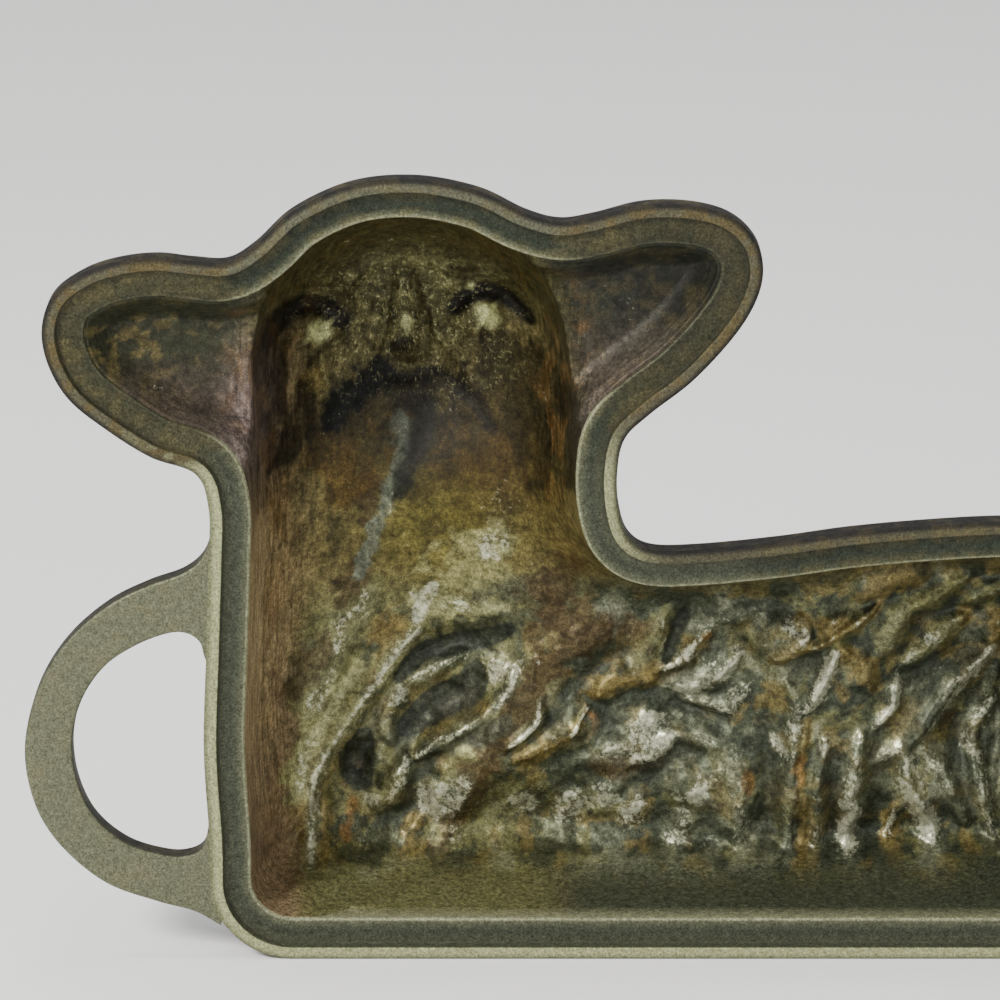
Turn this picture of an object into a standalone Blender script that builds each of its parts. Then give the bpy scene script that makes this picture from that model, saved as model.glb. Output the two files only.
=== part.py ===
# Lamb cake mould: two thin cast-iron halves that meet on an upright parting plane.
# The front half shapes the lamb's face and the back half shapes the back of its head.
# A raised tongue round the back half seats in a rabbet round the front half.
# Metres, +Z up. The origin is on the front half's parting plane, y = 0, in the middle of
# its base's front edge, and its cavity opens towards -Y.
# Both halves stand on their flat bases at z = 0, and the back half stands beside the
# front one, opened like a book about an upright line past the rump-side handles.

from math import ceil, pi, sin

import bmesh
import bpy
import numpy as np
from mathutils import Matrix
from mathutils.geometry import delaunay_2d_cdt

for old in list(bpy.data.objects):
    bpy.data.objects.remove(old, do_unlink=True)

MM = 0.001

# Sizes of the castings, in millimetres
WALL = 3.2                 # shell wall
LAND_WIDTH = 3.1           # outer land, on the parting plane
RIM_WIDTH = 9.8            # from the outer edge to the cavity's mouth
RABBET_DEPTH = 2.6         # step down from the land to the rabbet floor
STEP_DRAFT = 0.4           # how far the step leans over its depth
MOUTH_ROUND = 0.8          # rounding between the rabbet floor and the cavity wall
FLANGE_THICKNESS = 6.5     # rim, front to back
EDGE_BREAK = 0.6           # broken edges of the rim and the handles
SEAT_GAP = 0.3             # between the two lands when the mould is shut
TONGUE_CLEARANCE = 0.4     # tongue to rabbet, at its side
TONGUE_TOP_GAP = 0.6       # tongue to rabbet floor, when shut
HANDLE_THICKNESS = 6.0
HANDLE_CENTRE_Z = 56.0
HANDLE_GAP = 0.6           # between the two halves' handles when they stand open
VENT_DIAMETER = 4.0        # steam hole through the back of the head

# Depths of the cavities below the parting plane, in millimetres
FRONT_DEPTH = 39.0
BACK_DEPTH = 36.0
FRONT_EAR_DEPTH = 11.0
BACK_EAR_DEPTH = 9.0
SHOULDER_RADIUS = 24.0     # how far in from the mouth the wall turns into the floor
EAR_RADIUS = 10.0
BASE_RADIUS = 7.0          # the same turn above the flat base
BASE_EDGE_ROUND = 3.0      # rounding of the base's rear edge
WALL_POWER = 2.3           # 2 is an ellipse, more is boxier
SILL_BLEND = 2.0           # softening where an ear's hollow meets the head's
FLANGE_BLEND = 1.0         # the same where the shell rises from the rim's back
WALL_STEPS = (0.35, 1.2, 2.6)          # rings down the wall below the mouth
BACK_STEPS = (-1.2, 0.4, 1.6, 3.4)     # rings over the turn from the rim's back to the shell
SILL_STEPS = (-1.5, 0.8, 3.4)          # rows of points across an ear's sill

# The lamb's outline on the parting plane, (x, z) in millimetres, in the stretches that
# its parts make, clockwise as seen from the cavity side
BASE_CORNER_LEFT = 20.0
BASE_CORNER_RIGHT = 22.0
CHEST = [(-0.8, 31.0), (-1.8, 54.7), (-0.7, 80.3), (0.3, 103.0)]
LEFT_EAR = [(0.5, 115.5), (-2.5, 124.2), (-13.1, 128.4), (-23.6, 135.3), (-32.2, 142.7),
            (-36.9, 151.5), (-38.0, 160.2), (-35.0, 168.2), (-27.6, 173.6), (-19.5, 176.3),
            (-10.6, 177.3), (-2.0, 176.4), (6.0, 176.2)]
LEFT_CHEEK = [(0.5, 118.0), (0.6, 138.0), (1.2, 155.0), (5.5, 169.5)]
CROWN = [(12.6, 180.2), (21.6, 188.4), (35.2, 194.6), (50.2, 196.0), (64.9, 193.2), (76.0, 187.9)]
RIGHT_EAR = [(84.0, 185.8), (92.0, 187.0), (103.2, 189.8), (114.5, 189.8), (123.8, 187.2),
             (129.8, 181.6), (131.8, 174.4), (130.2, 166.6), (125.0, 157.8), (115.6, 147.2),
             (105.5, 139.0), (99.6, 132.9)]
RIGHT_CHEEK = [(87.5, 178.0), (94.0, 164.0), (97.0, 148.0), (97.8, 134.0)]
BACK_LINE = [(97.9, 124.5), (98.4, 115.5), (100.8, 108.6), (106.5, 105.3), (118.5, 105.4),
             (136.9, 107.3), (153.5, 109.7), (171.4, 111.4), (189.2, 112.4)]
RUMP = [(206.0, 112.0), (220.5, 108.2), (231.5, 100.0), (238.5, 88.0), (241.8, 72.0),
        (242.6, 54.0), (241.4, 36.0)]

# The handles' loops, from the upper root round to the lower one: x from the side of the
# body, less outwards, and z from the handle's middle; the roots end inside the land
CHEST_HANDLE_OUTER = [(2.0, 53.4), (-0.4, 47.6), (-5.2, 43.6), (-13.5, 40.5), (-22.9, 35.7),
                      (-32.3, 27.6), (-39.3, 17.4), (-43.4, 5.5), (-44.3, -5.5), (-41.6, -17.5),
                      (-35.4, -27.4), (-25.2, -36.2), (-12.7, -41.0), (-4.2, -43.4), (2.4, -47.2)]
CHEST_HANDLE_INNER = [(2.0, 19.6), (-0.2, 21.8), (-1.4, 26.0), (-4.6, 28.3), (-9.2, 28.2),
                      (-16.8, 25.2), (-24.4, 19.9), (-30.1, 11.5), (-32.7, 1.4), (-31.8, -9.4),
                      (-27.6, -19.0), (-19.8, -25.8), (-10.4, -28.8), (-4.8, -28.6),
                      (-1.4, -26.4), (-0.2, -22.0), (2.0, -20.0)]
RUMP_HANDLE_OUTER = [(6.2, 36.0), (3.0, 33.6), (-2.0, 31.2), (-8.0, 30.4), (-17.0, 28.4),
                     (-27.0, 23.0), (-35.6, 14.8), (-41.6, 5.0), (-44.3, -6.5), (-42.2, -18.0),
                     (-36.4, -27.6), (-26.6, -35.8), (-13.5, -40.6), (-4.6, -43.2), (2.4, -47.2)]
RUMP_HANDLE_INNER = [(1.2, 10.0), (-0.9, 12.0), (-2.4, 15.6), (-5.6, 17.6), (-10.0, 17.8),
                     (-17.5, 15.4), (-24.8, 10.6), (-30.2, 3.6), (-32.6, -5.4), (-31.2, -14.6),
                     (-27.4, -21.6), (-20.0, -26.8), (-10.8, -29.2), (-5.4, -28.8),
                     (-2.0, -26.4), (-0.6, -22.0), (2.0, -20.0)]

# Masses that swell (or draw in) the cavity's floor:
# centre x and z, reach along x and z, height
FRONT_MASSES = [
    (46.5, 160.0, 27.0, 21.0, 5.0),     # brow and cheeks
    (45.5, 138.5, 18.5, 15.5, 13.0),    # muzzle
    (26.3, 154.0, 7.0, 5.5, -4.5),      # eye socket
    (66.8, 155.5, 7.0, 5.5, -4.5),      # eye socket
    (26.3, 153.0, 3.6, 3.2, 4.0),       # eye
    (66.8, 154.5, 3.6, 3.2, 4.0),       # eye
    (58.0, 112.0, 22.0, 12.0, -4.0),    # throat
    (52.0, 66.0, 26.0, 30.0, 9.0),      # chest
    (114.0, 58.0, 24.0, 26.0, 7.0),     # shoulder
    (152.0, 68.0, 18.0, 30.0, -3.0),    # flank
    (198.0, 54.0, 30.0, 30.0, 13.0),    # haunch
    (76.0, 21.0, 28.0, 8.0, 6.0),       # folded foreleg
    (172.0, 18.0, 32.0, 7.0, 6.0),      # hind foot
]
BACK_MASSES = [
    (47.0, 152.0, 26.0, 24.0, 8.0),     # back of the head
    (60.0, 108.0, 22.0, 12.0, -3.0),    # nape
    (62.0, 62.0, 30.0, 32.0, 5.0),      # shoulder
    (140.0, 62.0, 24.0, 30.0, -2.0),    # flank
    (196.0, 56.0, 32.0, 32.0, 8.0),     # haunch
    (228.0, 62.0, 9.0, 22.0, 4.0),      # tail
]

RIM_POINTS = 140           # points round the outline
HANDLE_SECTIONS = 26       # sections along a handle
FLOOR_SPACING = 7.6        # points of the cavity's floor
FACE_SPACING = 3.9         # the same on the face
POINT_CLEARANCE = 2.3      # least distance from a floor point to a ring or a sill
FACE_CENTRE = (46.5, 150.0)
FACE_REACH = (33.0, 26.0)
FACE_MARGIN = 1.1          # the wider pattern starts at this squared share of the reach
VENT_Z = 160.0             # height of the steam hole
VENT_LENGTH = 80.0         # its cutter, from front to back
VENT_START = 1.0           # the cutter starts this far behind the parting plane


def catmull_rom(stations, steps=12):
    """A smooth open curve through the stations, steps points for each stretch."""
    pts = np.array(stations, dtype=float)
    ring = np.vstack([2 * pts[0] - pts[1], pts, 2 * pts[-1] - pts[-2]])
    t = np.linspace(0.0, 1.0, steps, endpoint=False)[:, None]
    curve = []
    for i in range(len(ring) - 3):
        a, b, c, d = ring[i:i + 4]
        curve.append(0.5 * (2 * b + (c - a) * t + (2 * a - 5 * b + 4 * c - d) * t ** 2
                            + (3 * b - a - 3 * c + d) * t ** 3))
    return np.vstack(curve + [pts[-1:]])


def even_ring(points, count):
    """The closed curve again, as count points at even steps along it."""
    loop = np.vstack([points, points[:1]])
    run = np.concatenate([[0.0], np.cumsum(np.hypot(*np.diff(loop, axis=0).T))])
    at = np.linspace(0.0, run[-1], count, endpoint=False)
    return np.column_stack([np.interp(at, run, loop[:, k]) for k in (0, 1)])


def even_line(points, count):
    """The open curve again, as count points at even steps along it."""
    run = np.concatenate([[0.0], np.cumsum(np.hypot(*np.diff(points, axis=0).T))])
    at = np.linspace(0.0, run[-1], count)
    return np.column_stack([np.interp(at, run, points[:, k]) for k in (0, 1)])


def closed_outline(sides):
    """The stations of the sides as one curve, closed by the flat base and its corners."""
    rise = np.linspace(-pi / 2, -pi, 9)
    left_x = sides[0][0] + BASE_CORNER_LEFT
    left = np.column_stack([left_x + BASE_CORNER_LEFT * np.cos(rise),
                            BASE_CORNER_LEFT * (1 + np.sin(rise))])
    fall = np.linspace(0.0, -pi / 2, 9)
    right_x = sides[-1][0] - BASE_CORNER_RIGHT
    right = np.column_stack([right_x + BASE_CORNER_RIGHT * np.cos(fall),
                             BASE_CORNER_RIGHT * (1 + np.sin(fall))])
    above = catmull_rom([tuple(left[-1])] + sides + [tuple(right[0])])
    return np.vstack([left[:-1], above, right[1:]])


def inward_normals(ring):
    """Unit normals of a clockwise ring, pointing into it."""
    along = np.roll(ring, -1, axis=0) - np.roll(ring, 1, axis=0)
    along /= np.linalg.norm(along, axis=1)[:, None]
    return np.column_stack([along[:, 1], -along[:, 0]])


def depth_inside(points, curve, closed):
    """How far each point lies inside a clockwise curve, less than nothing outside it."""
    a = curve if closed else curve[:-1]
    b = np.roll(curve, -1, axis=0) if closed else curve[1:]
    side = b - a
    normal = np.column_stack([side[:, 1], -side[:, 0]]) / np.linalg.norm(side, axis=1)[:, None]
    offset = points[:, None, :] - a[None, :, :]
    share = np.clip((offset * side).sum(2) / (side ** 2).sum(1), 0.0, 1.0)
    gap = offset - share[:, :, None] * side
    distance = np.hypot(gap[:, :, 0], gap[:, :, 1])
    nearest = distance.argmin(1)
    rows = np.arange(len(points))
    inside = (gap[rows, nearest] * normal[nearest]).sum(1) >= 0
    return np.where(inside, distance[rows, nearest], -distance[rows, nearest])


def wall_profile(share, power=WALL_POWER):
    """Depth of a wall from 0 at the mouth to 1 where it has turned into the floor."""
    t = np.clip(share, 0.0, 1.0)
    return (1 - (1 - t) ** power) ** (1 / power)


def blend_max(a, b, reach):
    """The greater of two heights, blended where they are within reach of each other."""
    mix = np.clip(0.5 + 0.5 * (a - b) / reach, 0.0, 1.0)
    return b * (1 - mix) + a * mix + reach * mix * (1 - mix)


SIDES = CHEST + LEFT_EAR + CROWN + RIGHT_EAR + BACK_LINE + RUMP
BODY_SIDES = CHEST + LEFT_CHEEK + CROWN + RIGHT_CHEEK + BACK_LINE + RUMP
SILHOUETTE = closed_outline(SIDES)
BODY_OUTLINE = closed_outline(BODY_SIDES)
RIM = even_ring(SILHOUETTE, RIM_POINTS)
RIM_INWARD = inward_normals(RIM)
CHEST_X, RUMP_X = CHEST[0][0], RUMP[-1][0]
MIDDLE_X = (CHEST_X + RUMP_X) / 2


class Cavity:
    """The depth of one half's hollow, and of its outer face, as functions of (x, z)."""

    def __init__(self, masses, depth, ear_depth):
        self.masses = masses
        self.depth = depth
        self.ear_depth = ear_depth

    def floor(self, points):
        total = np.full(len(points), self.depth)
        for x, z, reach_x, reach_z, height in self.masses:
            total += height * np.exp(-((points[:, 0] - x) / reach_x) ** 2
                                     - ((points[:, 1] - z) / reach_z) ** 2)
        return total

    def shape(self, points, rim, base, wall):
        """Hollow that starts rim inside the outline and base above z = 0, grown by wall."""
        body = depth_inside(points, BODY_OUTLINE, closed=False)
        whole = depth_inside(points, SILHOUETTE, closed=False)
        side = np.minimum(body, whole) - rim
        swell = wall_profile(side / (SHOULDER_RADIUS + wall))
        if base is not None:
            swell = swell * wall_profile((points[:, 1] - base) / (BASE_RADIUS + wall))
        hollow = (self.floor(points) + wall) * swell
        ears = (self.ear_depth + wall) * wall_profile((whole - rim) / (EAR_RADIUS + wall))
        return blend_max(hollow, ears, SILL_BLEND)

    def inner(self, points):
        return self.shape(points, RIM_WIDTH, RIM_WIDTH, 0.0)

    def outer(self, points):
        shell = self.shape(points, RIM_WIDTH - WALL, None, WALL)
        below = np.clip(1 - points[:, 1] / BASE_EDGE_ROUND, 0.0, 1.0)
        cut = BASE_EDGE_ROUND * (1 - np.sqrt(1 - below ** 2))
        return blend_max(shell, np.full(len(points), FLANGE_THICKNESS), FLANGE_BLEND) - cut


def ring_rows(bm, offsets, heights):
    """Rings of vertices round the outline; heights are numbers or functions of (x, z)."""
    rows = []
    for offset, height in zip(offsets, heights):
        points = RIM + RIM_INWARD * offset
        depth = height(points) if callable(height) else np.full(len(points), height)
        rows.append([bm.verts.new((x * MM, y * MM, z * MM)) for (x, z), y in zip(points, depth)])
    return rows


def join_rows(bm, rows):
    """Quads between neighbouring rings."""
    for low, high in zip(rows, rows[1:]):
        for i in range(len(low)):
            j = (i + 1) % len(low)
            bm.faces.new((low[i], low[j], high[j], high[i]))


def spread_points(spacing, centre=None, reach=None):
    """Points in a triangle pattern over the outline's box, or over an oval in it."""
    low, high = RIM.min(0), RIM.max(0)
    rise = spacing * sin(pi / 3)
    rows = []
    for k in range(ceil((high[1] - low[1]) / rise)):
        x = np.arange(low[0] + (k % 2) * spacing / 2, high[0], spacing)
        rows.append(np.column_stack([x, np.full(len(x), low[1] + k * rise)]))
    points = np.vstack(rows)
    if centre is not None:
        points = points[(((points - centre) / reach) ** 2).sum(1) < 1]
    return points


def sill_points(margin):
    """Rows along the cheeks, where the ears' shallow hollows drop into the head."""
    ring = even_ring(BODY_OUTLINE, RIM_POINTS)
    normals = inward_normals(ring)
    rows = np.vstack([ring + normals * (margin + step) for step in SILL_STEPS])
    return rows[rows[:, 1] > BACK_LINE[0][1]]


def fill_floor(bm, ring, offset, height, sill_margin):
    """The surface inside the last ring, through points spread over it."""
    loop = RIM + RIM_INWARD * offset
    face = spread_points(FACE_SPACING, np.array(FACE_CENTRE), np.array(FACE_REACH))
    sill = sill_points(sill_margin)
    wide = spread_points(FLOOR_SPACING)
    wide = wide[(((wide - FACE_CENTRE) / FACE_REACH) ** 2).sum(1) > FACE_MARGIN]
    wide = wide[np.hypot(*(wide[:, None, :] - sill[None, :, :]).T).min(0) > POINT_CLEARANCE]
    points = np.vstack([face, sill, wide])
    points = points[depth_inside(points, loop, closed=True) > POINT_CLEARANCE]
    every = np.vstack([loop, points])
    depth = height(points)
    made = list(ring) + [bm.verts.new((x * MM, y * MM, z * MM))
                         for (x, z), y in zip(points, depth)]
    count = len(loop)
    result = delaunay_2d_cdt([tuple(p) for p in every], [], [list(range(count))], 1, 1e-6)
    source = result[3]
    for triangle in result[2]:
        bm.faces.new([made[source[k][0]] for k in triangle])


def handle_edges(rump_side):
    """The outer and inner edges of a handle's loop, as many points on each."""
    edges = []
    loops = ((RUMP_HANDLE_OUTER, RUMP_HANDLE_INNER) if rump_side
             else (CHEST_HANDLE_OUTER, CHEST_HANDLE_INNER))
    for stations in loops:
        curve = catmull_rom(stations)
        curve[:, 0] = RUMP_X - curve[:, 0] if rump_side else CHEST_X + curve[:, 0]
        curve[:, 1] += HANDLE_CENTRE_Z
        edges.append(even_line(curve, HANDLE_SECTIONS))
    return edges


HINGE_X = handle_edges(True)[0][:, 0].max() + HANDLE_GAP / 2
HINGE_Y = -SEAT_GAP / 2


def finish_mesh(bm, name, about_hinge):
    """The mesh, turned round the hinge line and measured from it for the back half."""
    if about_hinge:
        for vert in bm.verts:
            vert.co = (HINGE_X * MM - vert.co.x, vert.co.y - HINGE_Y * MM, vert.co.z)
    bmesh.ops.recalc_face_normals(bm, faces=bm.faces)
    mesh = bpy.data.meshes.new(name)
    bm.to_mesh(mesh)
    bm.free()
    return mesh


def half_mesh(name, cavity, seat):
    """One casting: rim, cavity and outer face. seat is 'rabbet' or 'tongue'."""
    bm = bmesh.new()
    if seat == "rabbet":
        step, floor = LAND_WIDTH, RABBET_DEPTH
    else:
        step, floor = LAND_WIDTH + TONGUE_CLEARANCE, TONGUE_TOP_GAP - SEAT_GAP - RABBET_DEPTH
    lean = STEP_DRAFT
    face_offsets = [0.0, EDGE_BREAK, step, step + lean, RIM_WIDTH - MOUTH_ROUND, RIM_WIDTH]
    face_heights = [EDGE_BREAK, 0.0, 0.0, floor, floor, floor + MOUTH_ROUND]
    for extra in WALL_STEPS:
        face_offsets.append(RIM_WIDTH + extra)
        face_heights.append(lambda p, low=floor + MOUTH_ROUND + extra:
                            np.maximum(cavity.inner(p), low))
    face = ring_rows(bm, face_offsets, face_heights)

    shell = RIM_WIDTH - WALL
    back_offsets = [0.0, EDGE_BREAK] + [shell + step for step in BACK_STEPS]
    back_heights = [lambda p: cavity.outer(p) - EDGE_BREAK] + [cavity.outer] * (len(BACK_STEPS) + 1)
    back = ring_rows(bm, back_offsets, back_heights)
    join_rows(bm, back[::-1] + face)
    fill_floor(bm, face[-1], face_offsets[-1], cavity.inner, RIM_WIDTH)
    fill_floor(bm, back[-1], back_offsets[-1], cavity.outer, shell)
    return finish_mesh(bm, name, seat == "tongue")


def handle_mesh(name, rump_side, about_hinge):
    """A flat loop with broken edges, flush with the land, lofted from root to root."""
    outer, inner = handle_edges(rump_side)
    width = np.linalg.norm(outer - inner, axis=1)
    side, face = EDGE_BREAK, HANDLE_THICKNESS
    section = [(0, side), (side, 0), (-side, 0), (-0.0, side),
               (-0.0, face - side), (-side, face), (side, face), (0, face - side)]
    bm = bmesh.new()
    rings = []
    for k in range(HANDLE_SECTIONS):
        across = (inner[k] - outer[k]) / width[k]
        ring = []
        for corner, (inset, y) in enumerate(section):
            start = inner[k] if 2 <= corner <= 5 else outer[k]
            x, z = start + across * inset
            ring.append(bm.verts.new((x * MM, y * MM, z * MM)))
        rings.append(ring)
    for low, high in zip(rings, rings[1:]):
        for i in range(len(section)):
            j = (i + 1) % len(section)
            bm.faces.new((low[i], low[j], high[j], high[i]))
    bm.faces.new(rings[0])
    bm.faces.new(rings[-1])
    bmesh.ops.triangulate(bm, faces=bm.faces)
    return finish_mesh(bm, name, about_hinge)


def iron(name, colour, roughness):
    material = bpy.data.materials.new(name)
    material.use_nodes = True
    shader = material.node_tree.nodes["Principled BSDF"]
    shader.inputs["Base Color"].default_value = (*colour, 1.0)
    shader.inputs["Metallic"].default_value = 0.7
    shader.inputs["Roughness"].default_value = roughness
    return material


def add_helper(name, mesh):
    helper = bpy.data.objects.new(name, mesh)
    helper.hide_render = True
    helper.display_type = "WIRE"
    bpy.context.collection.objects.link(helper)
    return helper


def combine(target, helper, operation):
    change = target.modifiers.new(helper.name, "BOOLEAN")
    change.operation = operation
    change.solver = "EXACT"
    change.object = helper


def make_half(name, cavity, seat, material):
    mesh = half_mesh(name, cavity, seat)
    for polygon in mesh.polygons:
        polygon.use_smooth = True
    mesh.set_sharp_from_angle(angle=0.6)
    half = bpy.data.objects.new(name, mesh)
    half.data.materials.append(material)
    bpy.context.collection.objects.link(half)
    for side in (False, True):
        label = "rump" if side else "chest"
        handle = add_helper(f"{name}_{label}_handle",
                            handle_mesh(f"{name}_{label}", side, seat == "tongue"))
        handle.parent = half
        combine(half, handle, "UNION")
    return half


def steam_hole(half):
    """A round cutter through the back of the head."""
    bm = bmesh.new()
    radius = VENT_DIAMETER / 2 * MM
    bmesh.ops.create_cone(bm, cap_ends=True, segments=20, radius1=radius, radius2=radius,
                          depth=VENT_LENGTH * MM)
    bmesh.ops.rotate(bm, verts=bm.verts, cent=(0, 0, 0), matrix=Matrix.Rotation(pi / 2, 3, "X"))
    middle = VENT_START + VENT_LENGTH / 2
    bmesh.ops.translate(bm, verts=bm.verts, vec=(FACE_CENTRE[0] * MM, middle * MM, VENT_Z * MM))
    cutter = add_helper("steam_hole", finish_mesh(bm, "steam_hole", True))
    cutter.parent = half
    combine(half, cutter, "DIFFERENCE")


front_iron = iron("patinated iron, front", (0.16, 0.14, 0.085), 0.42)
back_iron = iron("patinated iron, back", (0.15, 0.14, 0.10), 0.45)
front = make_half("front_half", Cavity(FRONT_MASSES, FRONT_DEPTH, FRONT_EAR_DEPTH),
                  "rabbet", front_iron)
back = make_half("back_half", Cavity(BACK_MASSES, BACK_DEPTH, BACK_EAR_DEPTH),
                 "tongue", back_iron)
steam_hole(back)

# the line that the back half swings about
front.location.x = -MIDDLE_X * MM
hinge = bpy.data.objects.new("closing_line", None)
hinge.location = ((HINGE_X - MIDDLE_X) * MM, HINGE_Y * MM, 0.0)
bpy.context.collection.objects.link(hinge)
back.parent = hinge
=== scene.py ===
# Lamb cake mould: the front half's carved cavity faces the viewer and the back half stands
# open beside it. The imported CAD part is the fixed frame. The castings' surfaces and their
# patina, with painted highlights and painted shade in places, are made here. Lengths are
# millimetres until a mesh is made: x from the chest side, z up from the base, y back from the parting plane.

from math import cos, pi, radians, sin

import bpy
import numpy as np
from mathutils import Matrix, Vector


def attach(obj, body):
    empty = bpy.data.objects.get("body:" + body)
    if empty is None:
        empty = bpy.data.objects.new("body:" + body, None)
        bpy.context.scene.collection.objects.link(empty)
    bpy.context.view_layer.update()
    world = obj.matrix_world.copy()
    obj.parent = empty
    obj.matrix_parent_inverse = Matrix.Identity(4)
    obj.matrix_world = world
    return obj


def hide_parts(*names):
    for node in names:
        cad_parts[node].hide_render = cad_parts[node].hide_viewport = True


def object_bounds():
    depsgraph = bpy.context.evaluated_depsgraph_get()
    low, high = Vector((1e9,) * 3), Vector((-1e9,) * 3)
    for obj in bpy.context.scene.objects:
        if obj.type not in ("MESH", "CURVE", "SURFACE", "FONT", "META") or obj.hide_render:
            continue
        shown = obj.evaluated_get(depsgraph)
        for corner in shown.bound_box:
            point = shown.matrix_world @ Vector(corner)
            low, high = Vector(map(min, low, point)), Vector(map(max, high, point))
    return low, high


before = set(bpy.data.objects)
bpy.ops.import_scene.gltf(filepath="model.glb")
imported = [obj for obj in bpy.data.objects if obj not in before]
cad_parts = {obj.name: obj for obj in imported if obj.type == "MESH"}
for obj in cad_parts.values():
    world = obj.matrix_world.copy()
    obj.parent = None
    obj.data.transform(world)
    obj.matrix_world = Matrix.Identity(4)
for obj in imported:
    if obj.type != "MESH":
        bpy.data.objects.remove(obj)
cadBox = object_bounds()
print("frame loaded")

mould = {
    "wall": 3.2,
    "landWidth": 3.1,
    "rimWidth": 9.8,
    "rabbetDepth": 2.6,
    "stepDraft": 0.4,
    "flange": 6.5,
    "seatGap": 0.3,
    "tongueClearance": 0.4,
    "tongueTopGap": 0.6,
    "handleThickness": 6.0,
    "handleMiddleZ": 56.0,
    "baseCornerLeft": 20.0,
    "baseCornerRight": 22.0,
    "shoulderRadius": 24.0,
    "earRadius": 10.0,
    "baseRadius": 7.0,
    "baseEdgeRound": 3.0,
    "wallPower": 2.3,
    "ringPoints": 1500,    # points round the outline
    "gridStep": 0.6,       # spacing of the carved surfaces
    "seam": 2.2,           # the carved surfaces start this far inside the rim's wall
    "tuck": 0.25,          # and there they lie this far behind it
    "tuckReach": 0.5,
    "outsideShare": 0.25,  # how much of the carving shows on the outside
    "dishStart": -0.30,    # the ears' dish, in shares of the ears' radius
    "dishEnd": 0.80,
    "mouthSlope": 0.12,    # the cavity's least fall away from the rim
    "hingeGap": 0.3,       # from the rump-side handle to the line that the back half turns about
    "boxMargin": 0.2,      # what the outside leaves free inside the CAD's box
}

outline = {
    "chest": [(-0.8, 31.0), (-1.8, 54.7), (-0.7, 80.3), (0.3, 103.0)],
    "leftEar": [(0.5, 115.5), (-2.5, 124.2), (-13.1, 128.4), (-23.6, 135.3), (-32.2, 142.7),
                (-36.9, 151.5), (-38.0, 160.2), (-35.0, 168.2), (-27.6, 173.6), (-19.5, 176.3),
                (-10.6, 177.3), (-2.0, 176.4), (6.0, 176.2)],
    "leftCheek": [(0.5, 118.0), (0.6, 138.0), (1.2, 155.0), (5.5, 169.5)],
    "crown": [(12.6, 180.2), (21.6, 188.4), (35.2, 194.6), (50.2, 196.0), (64.9, 193.2), (76.0, 187.9)],
    "rightEar": [(84.0, 185.8), (92.0, 187.0), (103.2, 189.8), (114.5, 189.8), (123.8, 187.2),
                 (129.8, 181.6), (131.8, 174.4), (130.2, 166.6), (125.0, 157.8), (115.6, 147.2),
                 (105.5, 139.0), (99.6, 132.9)],
    "rightCheek": [(87.5, 178.0), (94.0, 164.0), (97.0, 148.0), (97.8, 134.0)],
    "backLine": [(97.9, 124.5), (98.4, 115.5), (100.8, 108.6), (106.5, 105.3), (118.5, 105.4),
                 (136.9, 107.3), (153.5, 109.7), (171.4, 111.4), (189.2, 112.4)],
    "rump": [(206.0, 112.0), (220.5, 108.2), (231.5, 100.0), (238.5, 88.0), (241.8, 72.0),
             (242.6, 54.0), (241.4, 36.0)],
}

# handle loops: x from the side of the body, less outwards, z from the handle's middle
handleLoops = {
    "chestOuter": [(2.0, 53.4), (-0.4, 47.6), (-5.2, 43.6), (-13.5, 40.5), (-22.9, 35.7),
                   (-32.3, 27.6), (-39.3, 17.4), (-43.4, 5.5), (-44.3, -5.5), (-41.6, -17.5),
                   (-35.4, -27.4), (-25.2, -36.2), (-12.7, -41.0), (-4.2, -43.4), (2.4, -47.2)],
    "chestInner": [(2.0, 19.6), (-0.2, 21.8), (-1.4, 26.0), (-4.6, 28.3), (-9.2, 28.2),
                   (-16.8, 25.2), (-24.4, 19.9), (-30.1, 11.5), (-32.7, 1.4), (-31.8, -9.4),
                   (-27.6, -19.0), (-19.8, -25.8), (-10.4, -28.8), (-4.8, -28.6),
                   (-1.4, -26.4), (-0.2, -22.0), (2.0, -20.0)],
    "rumpOuter": [(6.2, 36.0), (3.0, 33.6), (-2.0, 31.2), (-8.0, 30.4), (-17.0, 28.4),
                  (-27.0, 23.0), (-35.6, 14.8), (-41.6, 5.0), (-44.3, -6.5), (-42.2, -18.0),
                  (-36.4, -27.6), (-26.6, -35.8), (-13.5, -40.6), (-4.6, -43.2), (2.4, -47.2)],
    "rumpInner": [(1.2, 10.0), (-0.9, 12.0), (-2.4, 15.6), (-5.6, 17.6), (-10.0, 17.8),
                  (-17.5, 15.4), (-24.8, 10.6), (-30.2, 3.6), (-32.6, -5.4), (-31.2, -14.6),
                  (-27.4, -21.6), (-20.0, -26.8), (-10.8, -29.2), (-5.4, -28.8),
                  (-2.0, -26.4), (-0.6, -22.0), (2.0, -20.0)],
}


def smooth(low, high, value):
    # 0 below low, 1 above high, and a cubic ease between them
    t = np.clip((value - low) / (high - low), 0, 1)
    return t * t * (3 - 2 * t)


def catmullRom(stations, steps=12):
    # the uniform Catmull-Rom cubic through the stations, steps points a stretch
    pts = np.array(stations, float)
    ring = np.vstack([2 * pts[0] - pts[1], pts, 2 * pts[-1] - pts[-2]])
    t = np.tile(np.linspace(0, 1, steps, endpoint=False), len(pts) - 1)[:, None]
    i = np.repeat(np.arange(len(pts) - 1), steps)
    a, b, c, d = ring[i], ring[i + 1], ring[i + 2], ring[i + 3]
    curve = 0.5 * (2 * b + (c - a) * t + (2 * a - 5 * b + 4 * c - d) * t ** 2
                   + (3 * b - a - 3 * c + d) * t ** 3)
    return np.vstack([curve, pts[-1:]])


def evenly(points, count, closed):
    # the same curve as count points at equal steps of its running length
    loop = np.vstack([points, points[:1]]) if closed else points
    run = np.concatenate([[0], np.cumsum(np.hypot(*np.diff(loop, axis=0).T))])
    at = np.linspace(0, run[-1], count, endpoint=not closed)
    return np.column_stack([np.interp(at, run, loop[:, k]) for k in (0, 1)])


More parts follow.
